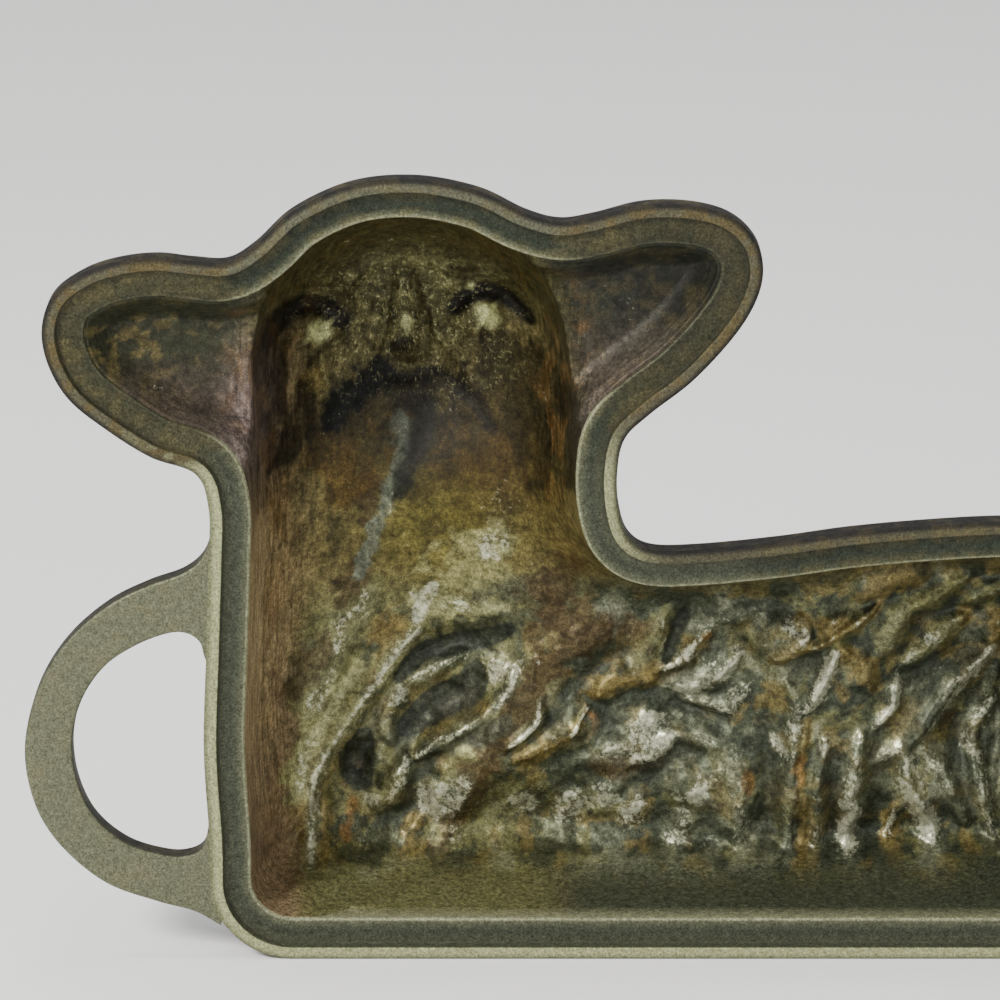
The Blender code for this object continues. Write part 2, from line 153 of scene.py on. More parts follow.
def closedOutline(sides, steps):
    # quarter circles at the base's two corners, and one spline over the rest, clockwise
    rise = np.linspace(-pi / 2, -pi, steps)
    left = mould["baseCornerLeft"]
    leftArc = np.column_stack([sides[0][0] + left * (1 + np.cos(rise)), left * (1 + np.sin(rise))])
    fall = np.linspace(0, -pi / 2, steps)
    right = mould["baseCornerRight"]
    rightArc = np.column_stack([sides[-1][0] - right * (1 - np.cos(fall)), right * (1 + np.sin(fall))])
    above = catmullRom([tuple(leftArc[-1])] + sides + [tuple(rightArc[0])], steps)
    return np.vstack([leftArc[:-1], above, rightArc[1:]])


def inwardNormals(ring):
    # the tangent of a clockwise ring turned a quarter turn into it
    along = np.roll(ring, -1, axis=0) - np.roll(ring, 1, axis=0)
    along /= np.linalg.norm(along, axis=1)[:, None]
    return np.column_stack([along[:, 1], -along[:, 0]])


def nearestOn(points, curve, closed):
    # signed distance into a clockwise curve, and the nearest point on it
    a = curve if closed else curve[:-1]
    b = np.roll(curve, -1, axis=0) if closed else curve[1:]
    side = b - a
    square = (side ** 2).sum(1)
    normal = np.column_stack([side[:, 1], -side[:, 0]]) / np.sqrt(square)[:, None]
    distance = np.empty(len(points))
    foot = np.empty((len(points), 2))
    for start in range(0, len(points), 5000):
        part = points[start:start + 5000]
        ox = part[:, 0, None] - a[:, 0]
        oz = part[:, 1, None] - a[:, 1]
        share = np.clip((ox * side[:, 0] + oz * side[:, 1]) / square, 0, 1)
        gx = ox - share * side[:, 0]
        gz = oz - share * side[:, 1]
        reach = gx * gx + gz * gz
        best = reach.argmin(1)
        rows = np.arange(len(part))
        gap = np.column_stack([gx[rows, best], gz[rows, best]])
        inside = (gap * normal[best]).sum(1) >= 0
        distance[start:start + 5000] = np.where(inside, 1, -1) * np.sqrt(reach[rows, best])
        foot[start:start + 5000] = part - gap
    return distance, foot


def wallProfile(share):
    # (1 - (1 - t)^p)^(1/p): a quarter of a superellipse from the mouth to the floor
    t = np.clip(share, 0, 1)
    power = mould["wallPower"]
    return (1 - (1 - t) ** power) ** (1 / power)


def blendMax(a, b, reach):
    # the greater of two heights, with a parabola where they are within reach of each other
    mix = np.clip(0.5 + 0.5 * (a - b) / reach, 0, 1)
    return b * (1 - mix) + a * mix + reach * mix * (1 - mix)


bodySides = (outline["chest"] + outline["leftCheek"] + outline["crown"] + outline["rightCheek"]
             + outline["backLine"] + outline["rump"])
wholeSides = (outline["chest"] + outline["leftEar"] + outline["crown"] + outline["rightEar"]
              + outline["backLine"] + outline["rump"])
silhouette = closedOutline(wholeSides, 12)
bodyLine = closedOutline(bodySides, 12)
chestX = outline["chest"][0][0]
rumpX = outline["rump"][-1][0]
middleX = (chestX + rumpX) / 2
rimRing = evenly(closedOutline(wholeSides, 60), mould["ringPoints"], True)
rimInward = inwardNormals(rimRing)
print("outline made")


class Spots:
    # points on the parting plane with their distances into the outline
    def __init__(self, points):
        self.points = points
        self.closed, self.foot = nearestOn(points, silhouette, True)
        self.whole = nearestOn(points, silhouette, False)[0]
        self.body = nearestOn(points, bodyLine, False)[0]
        self.x, self.z = points[:, 0], points[:, 1]

    def pick(self, used, moved, places):
        # some of the points, of which the moved ones lie at new places
        chosen = Spots(places[moved])
        for name in ("points", "closed", "foot", "whole", "body"):
            values = getattr(self, name)[used].copy()
            values[moved] = getattr(chosen, name)
            setattr(chosen, name, values)
        chosen.x, chosen.z = chosen.points[:, 0], chosen.points[:, 1]
        return chosen


ringCache = {}


def ringSpots(offset):
    # the outline's ring moved inwards by an offset, worked out once for both halves
    if offset not in ringCache:
        ringCache[offset] = Spots(rimRing + rimInward * offset)
    return ringCache[offset]


frontForm = {
    "depth": 39.0,
    "earDepth": 10.0,
    "mouthDepth": 2.75,
    # swellings of the cavity's floor: centre x and z, reach along x and z, height
    "masses": [
        (46.5, 160.0, 27.0, 21.0, 5.0),
        (45.5, 137.0, 20.0, 21.0, 8.5),
        (26.3, 154.0, 7.0, 5.5, -4.5),
        (66.8, 155.5, 7.0, 5.5, -4.5),
        (26.3, 153.0, 3.6, 3.2, 4.0),
        (66.8, 154.5, 3.6, 3.2, 4.0),
        (58.0, 110.0, 24.0, 14.0, -2.0),
        (52.0, 66.0, 26.0, 30.0, 9.0),
        (114.0, 58.0, 24.0, 26.0, 7.0),
        (152.0, 68.0, 18.0, 30.0, -3.0),
        (198.0, 54.0, 30.0, 30.0, 13.0),
        (76.0, 21.0, 28.0, 8.0, 6.0),
        (172.0, 18.0, 32.0, 7.0, 6.0),
    ],
}
backForm = {
    "depth": 36.0,
    "earDepth": 9.0,
    "mouthDepth": -9.0,
    "masses": [
        (47.0, 152.0, 26.0, 24.0, 8.0),
        (60.0, 108.0, 22.0, 12.0, -3.0),
        (62.0, 62.0, 30.0, 32.0, 5.0),
        (140.0, 62.0, 24.0, 30.0, -2.0),
        (196.0, 56.0, 32.0, 32.0, 8.0),
        (228.0, 62.0, 9.0, 22.0, 4.0),
    ],
}


def swelling(spots, rim, base, extra, form):
    # (floor + wall) * side profile * base profile, joined with the ears' shallower hollow; the
    # cavity is nowhere shallower than a plane that falls away from the rim
    floor = np.full(len(spots.x), form["depth"])
    for x, z, reachX, reachZ, height in form["masses"]:
        floor += height * np.exp(-((spots.x - x) / reachX) ** 2 - ((spots.z - z) / reachZ) ** 2)
    side = np.minimum(spots.body, spots.whole) - rim
    swell = wallProfile(side / (mould["shoulderRadius"] + extra))
    if base is not None:
        swell = swell * wallProfile((spots.z - base) / (mould["baseRadius"] + extra))
    ears = (spots.whole - rim) / (mould["earRadius"] + extra)
    if extra:
        return blendMax((floor + extra) * swell, (form["earDepth"] + extra) * wallProfile(ears), 2.0)
    earDish = form["earDepth"] * smooth(mould["dishStart"], mould["dishEnd"], ears)
    fall = mould["mouthSlope"] * np.maximum(spots.closed - rim, 0)
    return np.maximum(blendMax((floor + extra) * swell, earDish, 3.0), form["mouthDepth"] + fall)


def cavityDepth(spots, form):
    # the cavity's surface without its carving
    return swelling(spots, mould["rimWidth"], mould["rimWidth"], 0, form)


def outerDepth(spots, form):
    # the cavity's form grown by the wall, never under the flange, rounded at the base's edge
    wall = mould["wall"]
    shell = swelling(spots, mould["rimWidth"] - wall, None, wall, form)
    flange = np.full(len(spots.x), mould["flange"])
    below = np.clip(1 - spots.z / mould["baseEdgeRound"], 0, 1)
    cut = mould["baseEdgeRound"] * (1 - np.sqrt(1 - below ** 2))
    return blendMax(shell, flange, 1.0) - cut


curves = {
    # places on the front half's cavity, shared by the relief and the patina
    "chestBowl": [(66.0, 66.0), (54.0, 58.0), (44.0, 47.0), (37.0, 36.0), (31.0, 24.0), (30.0, 12.0)],
    "chestSwell": [(60.0, 80.0), (56.0, 88.0), (50.0, 92.0)],
    "neckHollow": [(78.0, 78.0), (84.0, 66.0), (88.0, 56.0)],
    "leftRoll": [(49.2, 69.5), (44.4, 64.6), (38.1, 55.7), (29.8, 44.4), (23.3, 31.6), (22.7, 14.0)],
    "leftRollShine": [(45.4, 65.6), (42.0, 61.6), (39.4, 57.6)],
    "leftRollLight": [(37.6, 55.0), (30.4, 44.6), (23.7, 32.6), (23.0, 18.1)],
    "darkPatch": [(72.3, 70.5), (67.7, 67.7), (61.2, 65.9), (54.7, 64.3), (49.4, 62.2), (44.8, 57.6)],
    "innerRoll": [(60.4, 62.6), (53.1, 59.1), (45.8, 55.1), (41.3, 46.5), (42.3, 41.1)],
    "innerHollow": [(64.2, 58.4), (61.9, 53.9), (56.4, 51.0), (51.6, 48.0), (46.4, 43.8)],
    "innerLump": [(61.2, 58.2), (57.9, 55.2)],
    "goldBand": [(66.5, 51.4), (62.7, 50.2), (57.9, 47.4), (51.9, 42.9)],
    "lightPlane": [(72.3, 66.1), (71.0, 61.1), (68.0, 56.9)],
    "brightRoll": [(73.6, 60.2), (72.0, 55.2), (66.5, 48.8), (57.9, 43.8), (49.3, 37.9)],
    "arm": [(97.0, 71.3), (88.0, 66.8), (83.3, 63.6), (75.3, 52.3), (69.2, 42.4), (61.9, 28.2), (54.3, 12.9)],
    "armEdge": [(80.0, 53.4), (78.6, 47.0), (72.0, 41.2)],
    "armShade": [(83.5, 52.6), (82.6, 46.8)],
    "tongueTail": [(88.1, 46.0), (84.1, 43.3), (80.1, 40.9), (73.3, 37.7)],
    "knob": [(88.9, 46.6), (89.9, 45.9)],
    "knobRim": [(92.4, 49.4), (93.6, 46.6), (92.2, 42.8)],
    "knobGroove": [(90.3, 53.2), (95.0, 51.3), (96.6, 46.8), (94.7, 41.6), (91.1, 39.0), (85.6, 37.7)],
    "diagDark": [(103.3, 65.9), (96.6, 61.5), (93.1, 59.0), (84.6, 52.8)],
    "lowHollow": [(35.4, 42.0), (34.3, 38.0), (34.2, 34.7), (34.9, 30.5)],
    "lowLumpA": [(37.2, 44.7), (35.3, 42.4)],
    "lowLumpB": [(39.9, 39.8), (37.5, 35.8)],
    "lowGold": [(34.3, 45.8), (29.7, 38.1), (26.9, 33.3), (26.2, 27.0), (25.7, 14.6)],
    "lowRoll": [(45.9, 38.3), (44.8, 32.4), (41.7, 26.9), (37.2, 25.3)],
    "lowDark": [(51.8, 36.8), (48.6, 28.1), (45.7, 22.7), (39.7, 19.9)],
    "lowSilver": [(60.5, 31.5), (56.5, 27.5), (53.4, 23.4)],
    "lowTan": [(63.4, 40.5), (59.9, 35.1), (56.4, 32.3)],
    "lowGoldRoll": [(50.8, 21.8), (46.7, 15.1), (44.7, 10.1)],
    "lowOrange": [(32.9, 25.6), (31.7, 17.8)],
    "chestShine": [(53.4, 81.8), (51.0, 76.9), (48.9, 72.5)],
    "chestGlow": [(68.0, 97.0), (63.0, 88.0), (53.0, 76.0)],
    "throatShine": [(70.5, 96.5), (66.5, 91.0)],
    # painted highlights and painted shade: where the colour is made lighter or darker than the relief's own
    # lighting makes it
    "rollLight": [(35.4, 59.5), (28.6, 50.2), (22.0, 40.9), (19.0, 30.4)],
    "rollLow": [(34.1, 49.4), (32.0, 37.4)],
    "lowLightA": [(50.6, 24.8), (55.4, 30.0)],
    "lowLightB": [(73.5, 25.4), (77.6, 23.4)],
    "lowLightC": [(90.0, 24.4), (99.0, 26.6)],
    "lowLightD": [(173.9, 32.4), (175.2, 25.6)],
    "lowLightE": [(36.2, 27.4), (39.2, 25.1)],
    "aboveCurl": [(48.7, 78.4), (58.7, 76.6), (71.2, 76.0)],
    "rightLightA": [(174.6, 39.6), (178.0, 45.0), (181.4, 50.2)],
    "rightLightB": [(138.5, 43.6), (141.8, 39.0)],
    "backLight": [(113.5, 69.0), (110.4, 63.5)],
    "brownArm": [(86.0, 90.0), (82.0, 77.5), (94.9, 73.6), (105.0, 69.8)],
    "shadeA": [(44.3, 45.6), (45.8, 37.6)],
    "shadeB": [(52.4, 40.8), (62.5, 44.2), (70.5, 46.9)],
    "shadeC": [(83.3, 45.3), (88.0, 54.5)],
    "shadeD": [(91.0, 41.0), (97.0, 47.6), (103.0, 51.8)],
    "shadeE": [(112.5, 58.6), (118.2, 61.9), (125.6, 64.3)],
    "shadeF": [(116.3, 50.3), (120.8, 46.4)],
    "shadeG": [(114.9, 29.7), (117.3, 37.6), (122.4, 36.5)],
    "shadeH": [(18.9, 58.2), (25.6, 67.6)],
    "shadeI": [(34.7, 88.2), (31.1, 78.1)],
    "shadeJ": [(172.8, 40.6), (176.8, 47.3), (179.7, 55.8)],
    "shadeK": [(187.0, 35.3), (188.9, 27.3)],
    "shadeL": [(189.8, 63.0), (180.7, 58.4)],
    "shadeM": [(37.4, 112.1), (36.9, 100.8)],
    "shadeN": [(70.0, 110.2), (74.9, 106.5)],
    "shadeO": [(96.5, 50.5), (98.5, 47.5), (100.5, 44.8)],
    "shadeP": [(101.5, 53.0), (107.6, 52.4), (113.5, 51.0), (119.0, 49.4)],
    "brownArmLow": [(83.0, 80.0), (82.0, 73.6), (80.0, 66.6)],
    "chestSilver": [(37.0, 80.4), (32.0, 72.1), (27.2, 64.2), (24.7, 58.1), (23.4, 50.5)],
    "chestGoldA": [(43.9, 72.6), (40.1, 66.0)],
    "chestGoldB": [(34.4, 59.8), (37.4, 57.5)],
    "chestGoldC": [(27.3, 52.7), (24.3, 42.9), (20.9, 33.3), (19.7, 20.2)],
    "throatDark": [(80.7, 84.0), (73.7, 80.9), (68.8, 80.5), (63.5, 78.0)],
    "shoulderTop": [(94.8, 40.7), (102.0, 42.2), (105.3, 45.6), (109.3, 48.9)],
    "shoulderTopB": [(104.3, 37.8), (109.1, 39.9), (112.8, 43.6)],
    "shoulderArc": [(110.3, 43.0), (116.4, 42.9), (122.1, 42.0), (128.2, 37.7), (129.9, 27.2), (131.4, 11.3)],
    "orangeSpot": [(132.2, 33.4), (132.8, 29.6)],
    "silverA": [(114.9, 36.7), (117.9, 31.3), (119.9, 27.8)],
    "silverB": [(98.4, 30.6), (94.2, 23.7)],
    "silverC": [(88.8, 27.2), (85.8, 21.4)],
    "silverD": [(103.0, 26.9), (101.7, 19.3)],
    "silverE": [(115.7, 21.9), (114.3, 15.2)],
    "silverF": [(123.0, 36.0), (123.4, 31.0)],
    "darkA": [(108.8, 35.0), (104.7, 29.0)],
    "darkB": [(111.9, 38.7), (118.9, 39.3)],
    "darkC": [(84.5, 35.4), (91.2, 27.6)],
    "darkD": [(122.7, 23.2), (121.4, 14.2)],
    "darkE": [(110.9, 23.1), (110.4, 14.0)],
    "darkF": [(75.0, 28.0), (80.3, 20.0)],
    "darkG": [(122.5, 34.0), (121.5, 38.0)],
    "brownPatch": [(94.4, 36.3), (105.3, 35.7), (110.1, 37.0)],
    "lobeA": [(103.6, 60.8), (107.3, 67.0), (110.6, 74.0)],
    "creaseA": [(116.4, 76.1), (114.8, 71.9), (113.4, 67.4), (111.3, 62.6)],
    "lobeB": [(122.2, 70.7), (118.7, 66.1), (116.7, 62.7), (111.2, 60.3), (106.7, 60.4)],
    "lobeBTip": [(122.4, 70.6), (121.2, 69.0)],
    "lobeC": [(94.6, 54.4), (98.4, 57.7), (102.1, 58.9), (107.7, 57.8)],
    "spotC": [(100.0, 55.3), (101.4, 53.1)],
    "lobeD": [(112.3, 55.8), (118.3, 56.6), (124.0, 59.1), (129.9, 65.1)],
    "highUp": [(122.4, 73.0), (128.4, 75.6), (134.8, 77.4)],
    "darkStreak": [(112.8, 50.9), (118.6, 49.2), (127.9, 47.3)],
    "lobeK": [(116.8, 51.8), (125.8, 50.4), (128.3, 52.7), (131.7, 57.0)],
    "lobeE": [(136.3, 65.4), (139.0, 70.1), (142.2, 73.9)],
    "goldE": [(144.8, 76.2), (145.4, 71.5), (142.8, 67.8), (137.9, 64.4)],
    "lineE": [(163.9, 78.9), (159.3, 74.8), (154.3, 72.3), (149.7, 69.0), (144.8, 67.2), (137.9, 64.2)],
    "goldF": [(149.6, 72.4), (154.5, 76.3)],
    "goldG": [(160.0, 81.8), (166.5, 85.4), (174.7, 86.5)],
    "lobeH": [(172.3, 77.2), (178.2, 80.5), (185.5, 85.1)],
    "creaseH": [(173.3, 76.0), (179.0, 74.8), (183.0, 75.5), (190.8, 78.3)],
    "lobeI": [(170.4, 77.6), (168.1, 71.9), (165.3, 67.0)],
    "darkI": [(157.3, 69.0), (160.6, 64.9)],
    "goldI": [(155.3, 66.9), (160.9, 64.1), (162.0, 60.8), (163.3, 56.9)],
    "darkHollow": [(150.2, 66.3), (146.8, 63.9), (143.6, 60.2)],
    "lobeJ": [(155.5, 73.2), (153.5, 67.6)],
    "lobeM": [(184.7, 73.4), (177.8, 67.4), (172.5, 62.9)],
    "lobeN": [(186.8, 77.9), (194.8, 82.8)],
    "goldM": [(185.4, 72.3), (187.6, 75.9)],
    "goldN": [(194.0, 73.4), (194.1, 64.9)],
    "darkL": [(179.6, 62.2), (174.5, 58.9), (171.0, 60.7)],
    "strandA": [(142.0, 57.8), (144.3, 51.4), (142.5, 38.1), (143.2, 25.0), (142.6, 10.5)],
    "strandB": [(153.5, 66.6), (151.4, 61.0), (149.7, 57.1), (146.8, 51.4)],
    "strandC": [(151.5, 43.7), (149.8, 32.5), (149.5, 18.0), (149.3, 10.8)],
    "strandD": [(160.2, 43.9), (158.7, 31.2), (157.6, 26.8), (159.6, 22.6), (157.8, 17.4), (159.2, 10.6)],
    "strandE": [(169.9, 57.9), (168.5, 51.3), (164.2, 46.1)],
    "strandF": [(193.8, 64.4), (186.4, 56.6), (179.5, 49.1), (173.9, 42.5), (165.0, 36.2)],
    "strandFa": [(173.9, 42.0), (172.4, 36.6), (173.8, 29.3), (178.8, 18.3), (179.8, 10.2)],
    "strandFb": [(176.0, 39.9), (180.4, 34.2), (183.4, 29.4), (188.3, 19.0)],
    "strandG": [(195.0, 50.2), (190.2, 44.5), (189.0, 40.0), (191.5, 30.1), (195.0, 16.3)],
    "strandH": [(169.6, 24.3), (168.8, 10.9)],
    "strandI": [(146.9, 49.3), (145.2, 38.3), (146.6, 24.0), (146.0, 11.0)],
    "brownG": [(182.0, 47.6), (184.7, 43.9)],
    "darkSa": [(164.6, 42.9), (166.3, 32.8), (165.3, 22.7)],
    "darkSb": [(186.4, 44.2), (185.5, 36.0)],
    "darkSc": [(154.4, 39.4), (154.1, 15.9)],
    "darkSd": [(136.3, 49.0), (137.4, 34.7), (137.3, 11.0)],
    "orangeS": [(145.1, 39.1), (145.6, 32.4)],
    "lidL": [(14.2, 150.6), (16.6, 154.3), (19.6, 156.4), (23.6, 156.3), (27.5, 154.3), (31.8, 150.2)],
    "lidR": [(58.4, 153.2), (62.7, 157.4), (66.8, 158.9), (71.9, 157.9), (77.4, 153.5)],
    "eyeL": [(25.2, 149.4), (26.1, 148.0)],
    "eyeR": [(66.2, 152.9), (67.4, 152.1)],
    "underL": [(19.7, 144.6), (24.9, 144.8), (28.5, 146.2), (31.5, 149.3)],
    "underR": [(59.1, 149.6), (64.1, 148.7), (70.0, 149.3), (75.9, 152.4)],
    "nail": [(62.2, 159.6), (63.2, 160.0)],
    "browL": [(12.6, 165.3), (18.2, 162.0), (25.0, 160.1), (32.1, 159.3), (36.3, 162.8), (41.3, 165.7)],
    "browR": [(52.8, 165.4), (59.0, 162.9), (65.1, 163.7), (71.2, 163.6), (77.8, 160.2)],
    "nose": [(46.6, 163.8), (46.4, 156.1), (46.6, 150.2), (45.8, 144.0)],
    "noseTip": [(43.2, 142.6), (48.3, 143.6)],
    "noseShine": [(46.7, 150.4), (47.3, 146.5)],
    "noseL": [(43.6, 163.7), (42.7, 154.7), (41.4, 147.4), (39.8, 142.1), (35.9, 137.1)],
    "noseR": [(51.2, 160.0), (53.3, 150.6), (55.2, 145.3), (58.9, 141.3), (63.1, 135.9)],
    "lipTop": [(38.7, 138.1), (42.7, 135.8), (46.2, 134.7), (50.2, 135.3), (54.8, 136.9)],
    "mouthL": [(29.2, 124.8), (30.6, 129.0), (33.5, 131.4), (36.9, 133.6), (39.7, 137.4)],
    "mouthR": [(53.6, 137.0), (58.1, 134.8), (61.1, 132.5), (64.1, 130.1), (68.1, 124.1)],
    "lip": [(43.4, 139.2), (47.7, 137.9), (52.8, 139.6)],
    "mouthIn": [(42.6, 133.2), (47.7, 131.7), (53.3, 133.7)],
    "chinStreak": [(52.7, 129.4), (51.2, 124.0), (49.8, 119.8), (45.4, 108.0)],
    "chinGrey": [(44.8, 126.0), (45.8, 119.6), (44.4, 112.8), (38.2, 94.9), (34.7, 85.6)],
    "cheekGold": [(23.5, 137.7), (26.2, 135.1)],
    "whiskers": [(33.8, 136.8), (30.1, 133.0)],
    "throatGoldL": [(30.9, 125.3), (32.0, 117.2), (30.1, 109.2)],
    "cheekR": [(72.5, 143.8), (75.4, 132.2), (77.7, 121.0)],
    "cheekL": [(14.2, 151.0), (13.6, 142.0), (16.4, 132.0), (18.8, 122.0)],
    "legFront": [(60.0, 12.6), (76.0, 17.0), (94.0, 16.0), (112.0, 14.0)],
}

rolls = [
    # rounded locks along those places: half width, height towards the viewer
    ("leftRoll", 3.6, 3.0), ("innerRoll", 3.0, 2.8), ("brightRoll", 2.9, 3.4), ("arm", 6.2, 2.9),
    ("armEdge", 2.0, 3.9), ("tongueTail", 2.8, 2.6), ("knob", 5.0, 3.2), ("innerLump", 2.6, 1.0),
    ("lowLumpA", 1.8, 1.2), ("lowLumpB", 1.9, 1.2), ("lowGold", 2.0, 1.7), ("lowRoll", 2.8, 2.6),
    ("lowSilver", 4.4, 1.9), ("lowTan", 3.8, 1.9), ("lowGoldRoll", 3.4, 2.0), ("chestSilver", 4.0, 1.0),
    ("shoulderTop", 5.0, 3.0), ("shoulderTopB", 4.0, 2.8), ("shoulderArc", 3.0, 2.6),
    ("silverA", 4.8, 1.4), ("silverB", 4.4, 1.4), ("silverC", 3.8, 1.2), ("silverD", 4.4, 1.3),
    ("silverE", 4.0, 1.3), ("silverF", 3.4, 1.3), ("brownPatch", 3.4, 1.2),
    ("lobeA", 4.2, 2.8), ("lobeB", 2.8, 3.2), ("lobeC", 4.0, 2.8), ("lobeD", 3.2, 3.4),
    ("highUp", 3.0, 2.2), ("lobeK", 2.8, 2.4), ("lobeE", 5.0, 2.8), ("goldE", 2.4, 3.0), ("lineE", 1.7, 2.4),
    ("goldF", 2.8, 2.2), ("goldG", 3.4, 2.2), ("lobeH", 3.6, 2.8), ("lobeI", 4.6, 2.6), ("lobeJ", 2.6, 2.4),
    ("goldI", 2.8, 2.2), ("lobeM", 3.8, 2.5), ("lobeN", 3.4, 2.5), ("goldN", 3.4, 2.4),
    ("strandA", 2.3, 2.9), ("strandB", 2.2, 3.1), ("strandC", 1.8, 2.3), ("strandD", 2.4, 3.0),
    ("strandE", 2.0, 2.8), ("strandF", 2.9, 3.4), ("strandFa", 2.7, 3.1), ("strandFb", 2.2, 2.6),
    ("strandG", 2.4, 3.0), ("strandH", 2.0, 2.0), ("strandI", 1.5, 1.5),
]

grooves = [
    # soft hollows and small swellings: half width, height towards the viewer
    ("chestBowl", 9.5, -2.2), ("chestSwell", 7.0, 1.2), ("neckHollow", 6.0, -1.4),
    ("darkPatch", 3.2, -2.0), ("innerHollow", 4.4, -2.4), ("lowHollow", 4.4, -2.2), ("lowDark", 3.0, -1.6),
    ("diagDark", 2.4, -1.8), ("knobGroove", 1.6, -1.5), ("creaseA", 2.0, -1.8), ("creaseH", 1.6, -1.2),
    ("darkStreak", 1.7, -1.5), ("darkHollow", 3.4, -2.0), ("darkSa", 3.4, -2.0), ("darkSb", 3.6, -1.8),
    ("darkSc", 2.2, -1.4), ("darkSd", 3.0, -1.8), ("darkA", 4.0, -1.2), ("darkC", 4.0, -1.2),
    ("darkI", 2.2, -1.2), ("darkL", 2.4, -1.4), ("darkD", 3.4, -0.9), ("darkE", 3.2, -0.8),
    ("darkB", 2.6, -1.0), ("legFront", 2.4, 1.0),
]

faceRelief = [
    ("lidL", 2.0, -2.0), ("lidR", 1.9, -2.0), ("eyeL", 3.0, -0.7), ("eyeR", 3.0, -0.7),
    ("underL", 1.3, 0.7), ("underR", 1.3, 0.5), ("nail", 1.0, 0.9), ("browL", 1.4, 1.0), ("browR", 1.4, 1.0),
    ("nose", 2.8, -1.3), ("noseTip", 2.0, -1.2), ("noseL", 1.3, 1.1), ("noseR", 1.3, 1.1), ("lip", 1.5, 1.0),
    ("lipTop", 1.6, -0.5), ("mouthL", 2.8, -0.7), ("mouthR", 1.8, -0.5), ("mouthIn", 2.2, 0.4),
    ("chinStreak", 2.0, -0.3), ("chinGrey", 2.2, -0.3), ("whiskers", 2.2, 0.6),
]


def nearCurve(x, z, line, reach):
    # which points lie within reach of a curve, how far from it, and at what share of its length
    near = np.flatnonzero((x > line[:, 0].min() - reach) & (x < line[:, 0].max() + reach)
                          & (z > line[:, 1].min() - reach) & (z < line[:, 1].max() + reach))
    side = np.diff(line, axis=0)
    ox = x[near, None] - line[:-1, 0]
    oz = z[near, None] - line[:-1, 1]
    t = np.clip((ox * side[:, 0] + oz * side[:, 1]) / (side ** 2).sum(1), 0, 1)
    square = (ox - t * side[:, 0]) ** 2 + (oz - t * side[:, 1]) ** 2
    best = square.argmin(1)
    rows = np.arange(len(near))
    return near, np.sqrt(square[rows, best]), (best + t[rows, best]) / len(side)


def carved(x, z, strokes):
    # the sum over the strokes of height * exp(-(distance/width)^2), eased at both ends
    rise = np.zeros(len(x))
    for name, width, height in strokes:
        near, gap, share = nearCurve(x, z, catmullRom(curves[name], 6), 3 * width)
        ends = 0.35 + 0.65 * np.sin(pi * share) ** 0.6
        rise[near] += height * ends * np.exp(-(gap / width) ** 2)
    return rise


def rolled(x, z, strokes):
    # round locks that melt into each other: the cube root of the sum of
    # (height * exp(-(distance/width)^2))^3
    total = np.zeros(len(x))
    for name, width, height in strokes:
        near, gap, share = nearCurve(x, z, catmullRom(curves[name], 6), 2.3 * width)
        taper = 0.55 + 0.45 * np.sin(pi * share) ** 0.5
        total[near] += (height * (0.4 + 0.6 * taper) * np.exp(-(gap / (width * taper)) ** 2)) ** 3
    return np.cbrt(total)


def patch(x, z, name, width):
    # 1 on a curve, falling straight to 0 at one and a half widths from it, less at its ends
    shares = np.zeros(len(x))
    near, gap, share = nearCurve(x, z, catmullRom(curves[name], 6), 1.5 * width)
    taper = 0.6 + 0.4 * np.sin(pi * share) ** 0.5
    shares[near] = np.clip(1 - gap / (1.5 * width * taper), 0, 1)
    return shares


def eaten(share, noise, rough):
    # a patch's share with its soft edge moved in and out by noise
    return smooth(0.10, 0.66, share + rough * (noise - 0.5) * (share > 0))


def scatter(column, row, turn):
    # a fixed pseudo-random number from 0 to 1 for each cell of a lattice
    return np.mod(np.sin(column * 127.1 + row * 311.7 + turn * 74.7) * 43758.5453, 1)


def cloud(u, v, turn):
    # value noise from 0 to 1: scattered heights at whole u and v, joined by cubic easing
    cu, cv = np.floor(u), np.floor(v)
    su, sv = smooth(0, 1, u - cu), smooth(0, 1, v - cv)
    low = scatter(cu, cv, turn) * (1 - su) + scatter(cu + 1, cv, turn) * su
    high = scatter(cu, cv + 1, turn) * (1 - su) + scatter(cu + 1, cv + 1, turn) * su
    return low * (1 - sv) + high * sv


def crests(u, v, turn, sharp):
    # rounded crests along the noise's middle level: exp(-((n - 1/2) / sharp)^2)
    return np.exp(-((cloud(u, v, turn) - 0.5) / sharp) ** 2)


wool = {
    "lean": 1.35,          # how far the locks lean towards the rump for each unit of height
    "turnHeight": 60.0,    # below this they hang upright
    "turn": 7.0,
    "lockPitch": 15.0,
    "lockRise": 12.0,
    "lockHeight": 3.4,
    "strandPitch": 9.4,
    "strandHeight": 3.2,
    "fineHeight": 0.5,
}


def acrossWool(x, z):
    # x less the locks' lean, which eases in above the turn: lean * t * ln(1 + e^((z - z0)/t))
    bend = wool["turn"] * np.log1p(np.exp((z - wool["turnHeight"]) / wool["turn"]))
    return x - wool["lean"] * bend


def lockRelief(x, z, turn):
    # overlapping locks: broad noise with crests on its middle level, drawn out along the lean
    s = acrossWool(x, z) + 5.0 * (cloud(x / 19, z / 15, turn + 1) - 0.5)
    u = s / wool["lockPitch"]
    v = z / wool["lockRise"] + 0.8 * cloud(x / 23, z / 17, turn + 2)
    broad = cloud(u, v, turn) - 0.5
    ridge = crests(u + 0.3, v, turn + 3, 0.16)
    second = crests(2.3 * u, 1.9 * v, turn + 4, 0.22)
    return wool["lockHeight"] * (0.9 * broad + 0.65 * ridge + 0.25 * second - 0.45)


